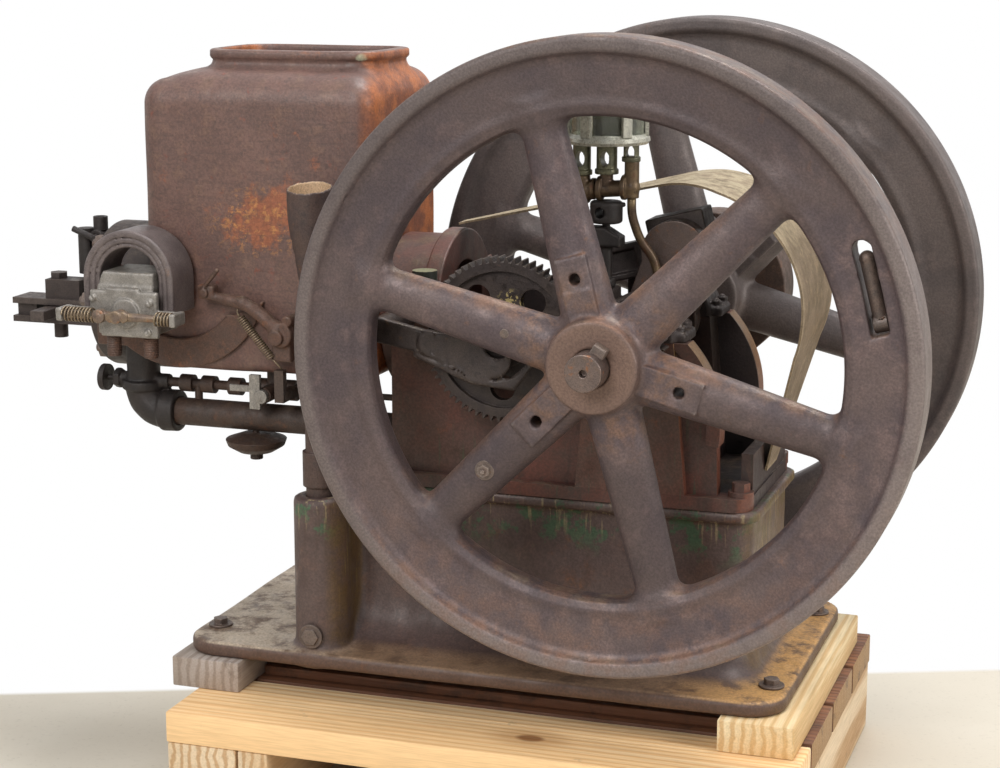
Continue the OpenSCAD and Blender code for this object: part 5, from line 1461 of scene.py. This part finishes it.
def valveField(p):
    x, y, z = p.T
    cup = np.maximum(pin(p, "z", (cx, cy), 19, 130, 156, 4), -pin(p, "y", (cx - 3, 143), 6, -120, -40, 1))
    cup = np.minimum(cup, limb(p, (cx - 17, cy, 148), (cx + 20, cy, 152), 3))
    body = blend(3, cup, pin(p, "z", (cx, cy), 4.5, 112, 156, 1))
    # the block is cut off at a slope above
    wedge = slab(p, (cx - 21, cy - 12, 103), (cx + 20, cy + 12, 126), 2)
    body = blend(3, body, np.maximum(wedge, (x - cx) * 0.5 + (z - 119) * 0.86 - 6))
    body = blend(3, body, pin(p, "z", (cx, cy), 7.5, 56, 110, 1))
    return np.minimum(body, pin(p, "z", (cx, cy), 12, 55.2, 66, 2))


cast("oilValve", "oil_valve", valveField, (-66, -108, 52), (-18, -60, 160), 1.7, charredIron)

# the sheet's half widths follow x at the rear and z at the foot, each as (places, widths)
guard = {"middle": (50, 35), "radius": 140, "thick": 3, "rear": 103, "front": -22, "foot": (140.1, -164),
         "rearAngle": 193, "rearReach": (274, 12), "nearWide": ((-300, 0, 26, 90), (6, 46, 56, 91.5)),
         "farWide": ((-300, -60, 60), (6, 50, 91.5)), "footWide": ((-190, 20), (20, 91.5)), "columns": 12}


def guardSheetMesh():
    # the bent sheet as a strip whose two edges close in at the rear and at the foot
    mx, mz = guard["middle"]
    turns = np.radians(np.linspace(guard["rear"], guard["front"], 44))
    arc = np.stack([mx + guard["radius"] * np.cos(turns), mz + guard["radius"] * np.sin(turns)], 1)
    rear = math.radians(guard["rearAngle"])
    back = arc[0] + np.outer(np.linspace(*guard["rearReach"], 20), [math.cos(rear), math.sin(rear)])
    down = arc[-1] + np.outer(np.linspace(0.06, 1, 14), np.array(guard["foot"]) - arc[-1])
    line = np.concatenate([back, arc, down])
    slope = np.gradient(line, axis=0)
    out = np.stack([-slope[:, 1], slope[:, 0]], 1) / np.linalg.norm(slope, axis=1)[:, None]
    out *= np.sign(((line - np.array([mx, mz - 60])) * out).sum(1))[:, None]
    foot = np.interp(line[:, 1], *guard["footWide"])
    near, far = (np.minimum(np.interp(line[:, 0], *guard[side]), foot) for side in ("nearWide", "farWide"))
    columns = guard["columns"]
    points, faces = [], []
    for layer in (0.2, guard["thick"] - 0.2):
        for i, (x, z) in enumerate(line + out * layer):
            for j in range(columns + 1):
                t = j / columns
                points.append(at(x, -near[i] + (near[i] + far[i]) * t, z))
    count, wide = len(line), columns + 1
    for layer in (0, 1):
        start = layer * count * wide
        for i in range(count - 1):
            for j in range(columns):
                here = start + i * wide + j
                face = [here, here + wide, here + wide + 1, here + 1]
                faces.append(face if layer else face[::-1])
    loop = [i * wide for i in range(count)] + [(count - 1) * wide + j for j in range(1, wide)]
    loop += [i * wide + columns for i in range(count - 2, -1, -1)] + [j for j in range(columns - 1, 0, -1)]
    for a, b in zip(loop, loop[1:] + loop[:1]):
        faces.append([a, b, b + count * wide, a + count * wide])
    mesh = meshFrom("crankGuard", points, faces)
    shape = bmesh.new()
    shape.from_mesh(mesh)
    bmesh.ops.recalc_face_normals(shape, faces=shape.faces)
    shape.to_mesh(mesh)
    shape.free()
    mesh.set_sharp_from_angle(angle=math.radians(40))
    return mesh


newPiece("crankGuard", guardSheetMesh(), "engine_frame", slotOf("crank_guard"), guardSheet,
         stands=("crank_guard",))

# springs wound by geometry nodes
springs = {"leftCoil": {"start": (-645.5, -209, 8), "end": (-686, -209, 8), "radius": 8.2, "wire": 1.25,
                        "turns": 9},
           "rightCoil": {"start": (-563.5, -209, 8), "end": (-542, -209, 8), "radius": 7.8, "wire": 1.25,
                         "turns": 5},
           "tripCoil": {"start": (-487, -137, 3), "end": (-446, -137, -46), "radius": 4.6, "wire": 0.95,
                        "turns": 22}}
hookRoutes = ([(-487, -137, 3), (-491, -137, 8), (-490, -136, 14)],
              [(-446, -137, -46), (-438, -134, -55), (-435, -131, -61)])


def windSpring(name, start, end, radius, wire, turns):
    start, end = at(*start), at(*end)
    along = end - start
    turn = along.to_track_quat("Z", "Y").to_euler()

    def build(tree, entry):
        coil = addNode(tree, "GeometryNodeCurveSpiral", {}, {
            "Resolution": 16, "Rotations": entry.outputs["Turns"], "Start Radius": entry.outputs["Radius"],
            "End Radius": entry.outputs["Radius"], "Height": entry.outputs["Length"]})
        section = addNode(tree, "GeometryNodeCurvePrimitiveCircle", {}, {
            "Resolution": 7, "Radius": entry.outputs["Wire"]})
        wound = addNode(tree, "GeometryNodeCurveToMesh", {}, {
            "Curve": coil.outputs[0], "Profile Curve": section.outputs[0], "Fill Caps": True})
        placed = addNode(tree, "GeometryNodeTransform", {}, {
            "Geometry": wound.outputs[0], "Translation": start, "Rotation": turn})
        return addNode(tree, "GeometryNodeSetShadeSmooth", {}, {"Geometry": placed.outputs[0]}).outputs[0]

    values = {"Turns": float(turns), "Radius": radius * mm, "Wire": wire * mm, "Length": along.length}
    return growNodes(name, bpy.data.meshes.new(name), build, values, springSteel)


left, right, coil = (windSpring(name, **values) for name, values in springs.items())
newPiece("magnetoSprings", joined("magnetoSprings", [left, right]), "engine_frame", slotOf("magneto_springs"),
         springSteel, stands=("magneto_springs",))
hooks = [tubeAlong("hook", route, 1.1, 8, corner=3) for route in hookRoutes]
newPiece("tripSpring", joined("tripSpring", [coil, *hooks]), "engine_frame", slotOf("trip_spring"),
         springSteel, stands=("trip_spring",))

# loose fittings on the near wheel, each as (outline, spoke's angle, reach, lift, sides)
fittings = (
    ([(0, 9), (2.5, 9), (3, 8.5), (3, 6.5), (7, 6.5), (7.6, 5.8), (7.6, 0.5), (0, 0.5)], 225, 183, 18, 6),
    ([(0, 1.4), (10.6, 1.4), (11.4, 0.6), (11.4, -2), (0, -2)], 225, 183, 18, 32),
    ([(0, 1.6), (4.2, 1.6), (5.2, 0.8), (5.2, -3), (0, -3)], 165, 109, 20.5, 28))
gib = {"low": (15.5, -15.5, -8), "high": (30.5, 0.5, 8), "bevel": 1.6, "turn": -60}


def onSpoke(outline, angle, reach, lift, sides):
    # turned along -Y, outward from the wheel's face
    x, z = reach * math.cos(math.radians(angle)), reach * math.sin(math.radians(angle))
    return turned("fitting", [(r, -h) for r, h in outline], (x, -wheel["mid"] - lift, z), "y", sides)


face = -wheel["mid"] - wheel["hubHalf"]
gibLow, gibHigh = ((x, face + y, z) for x, y, z in (gib["low"], gib["high"]))
gibBlock = block("gib", gibLow, gibHigh, gib["bevel"], Matrix.Rotation(math.radians(gib["turn"]), 4, "Y"))
newPiece("gibHead", gibBlock, "crank", slotOf("crankshaft"), boltSteel)
fitted = [onSpoke(*values) for values in fittings]
newPiece("wheelFittings", joined("wheelFittings", fitted), "crank", slotOf("flywheel_near"), boltSteel)
print("fittings made")
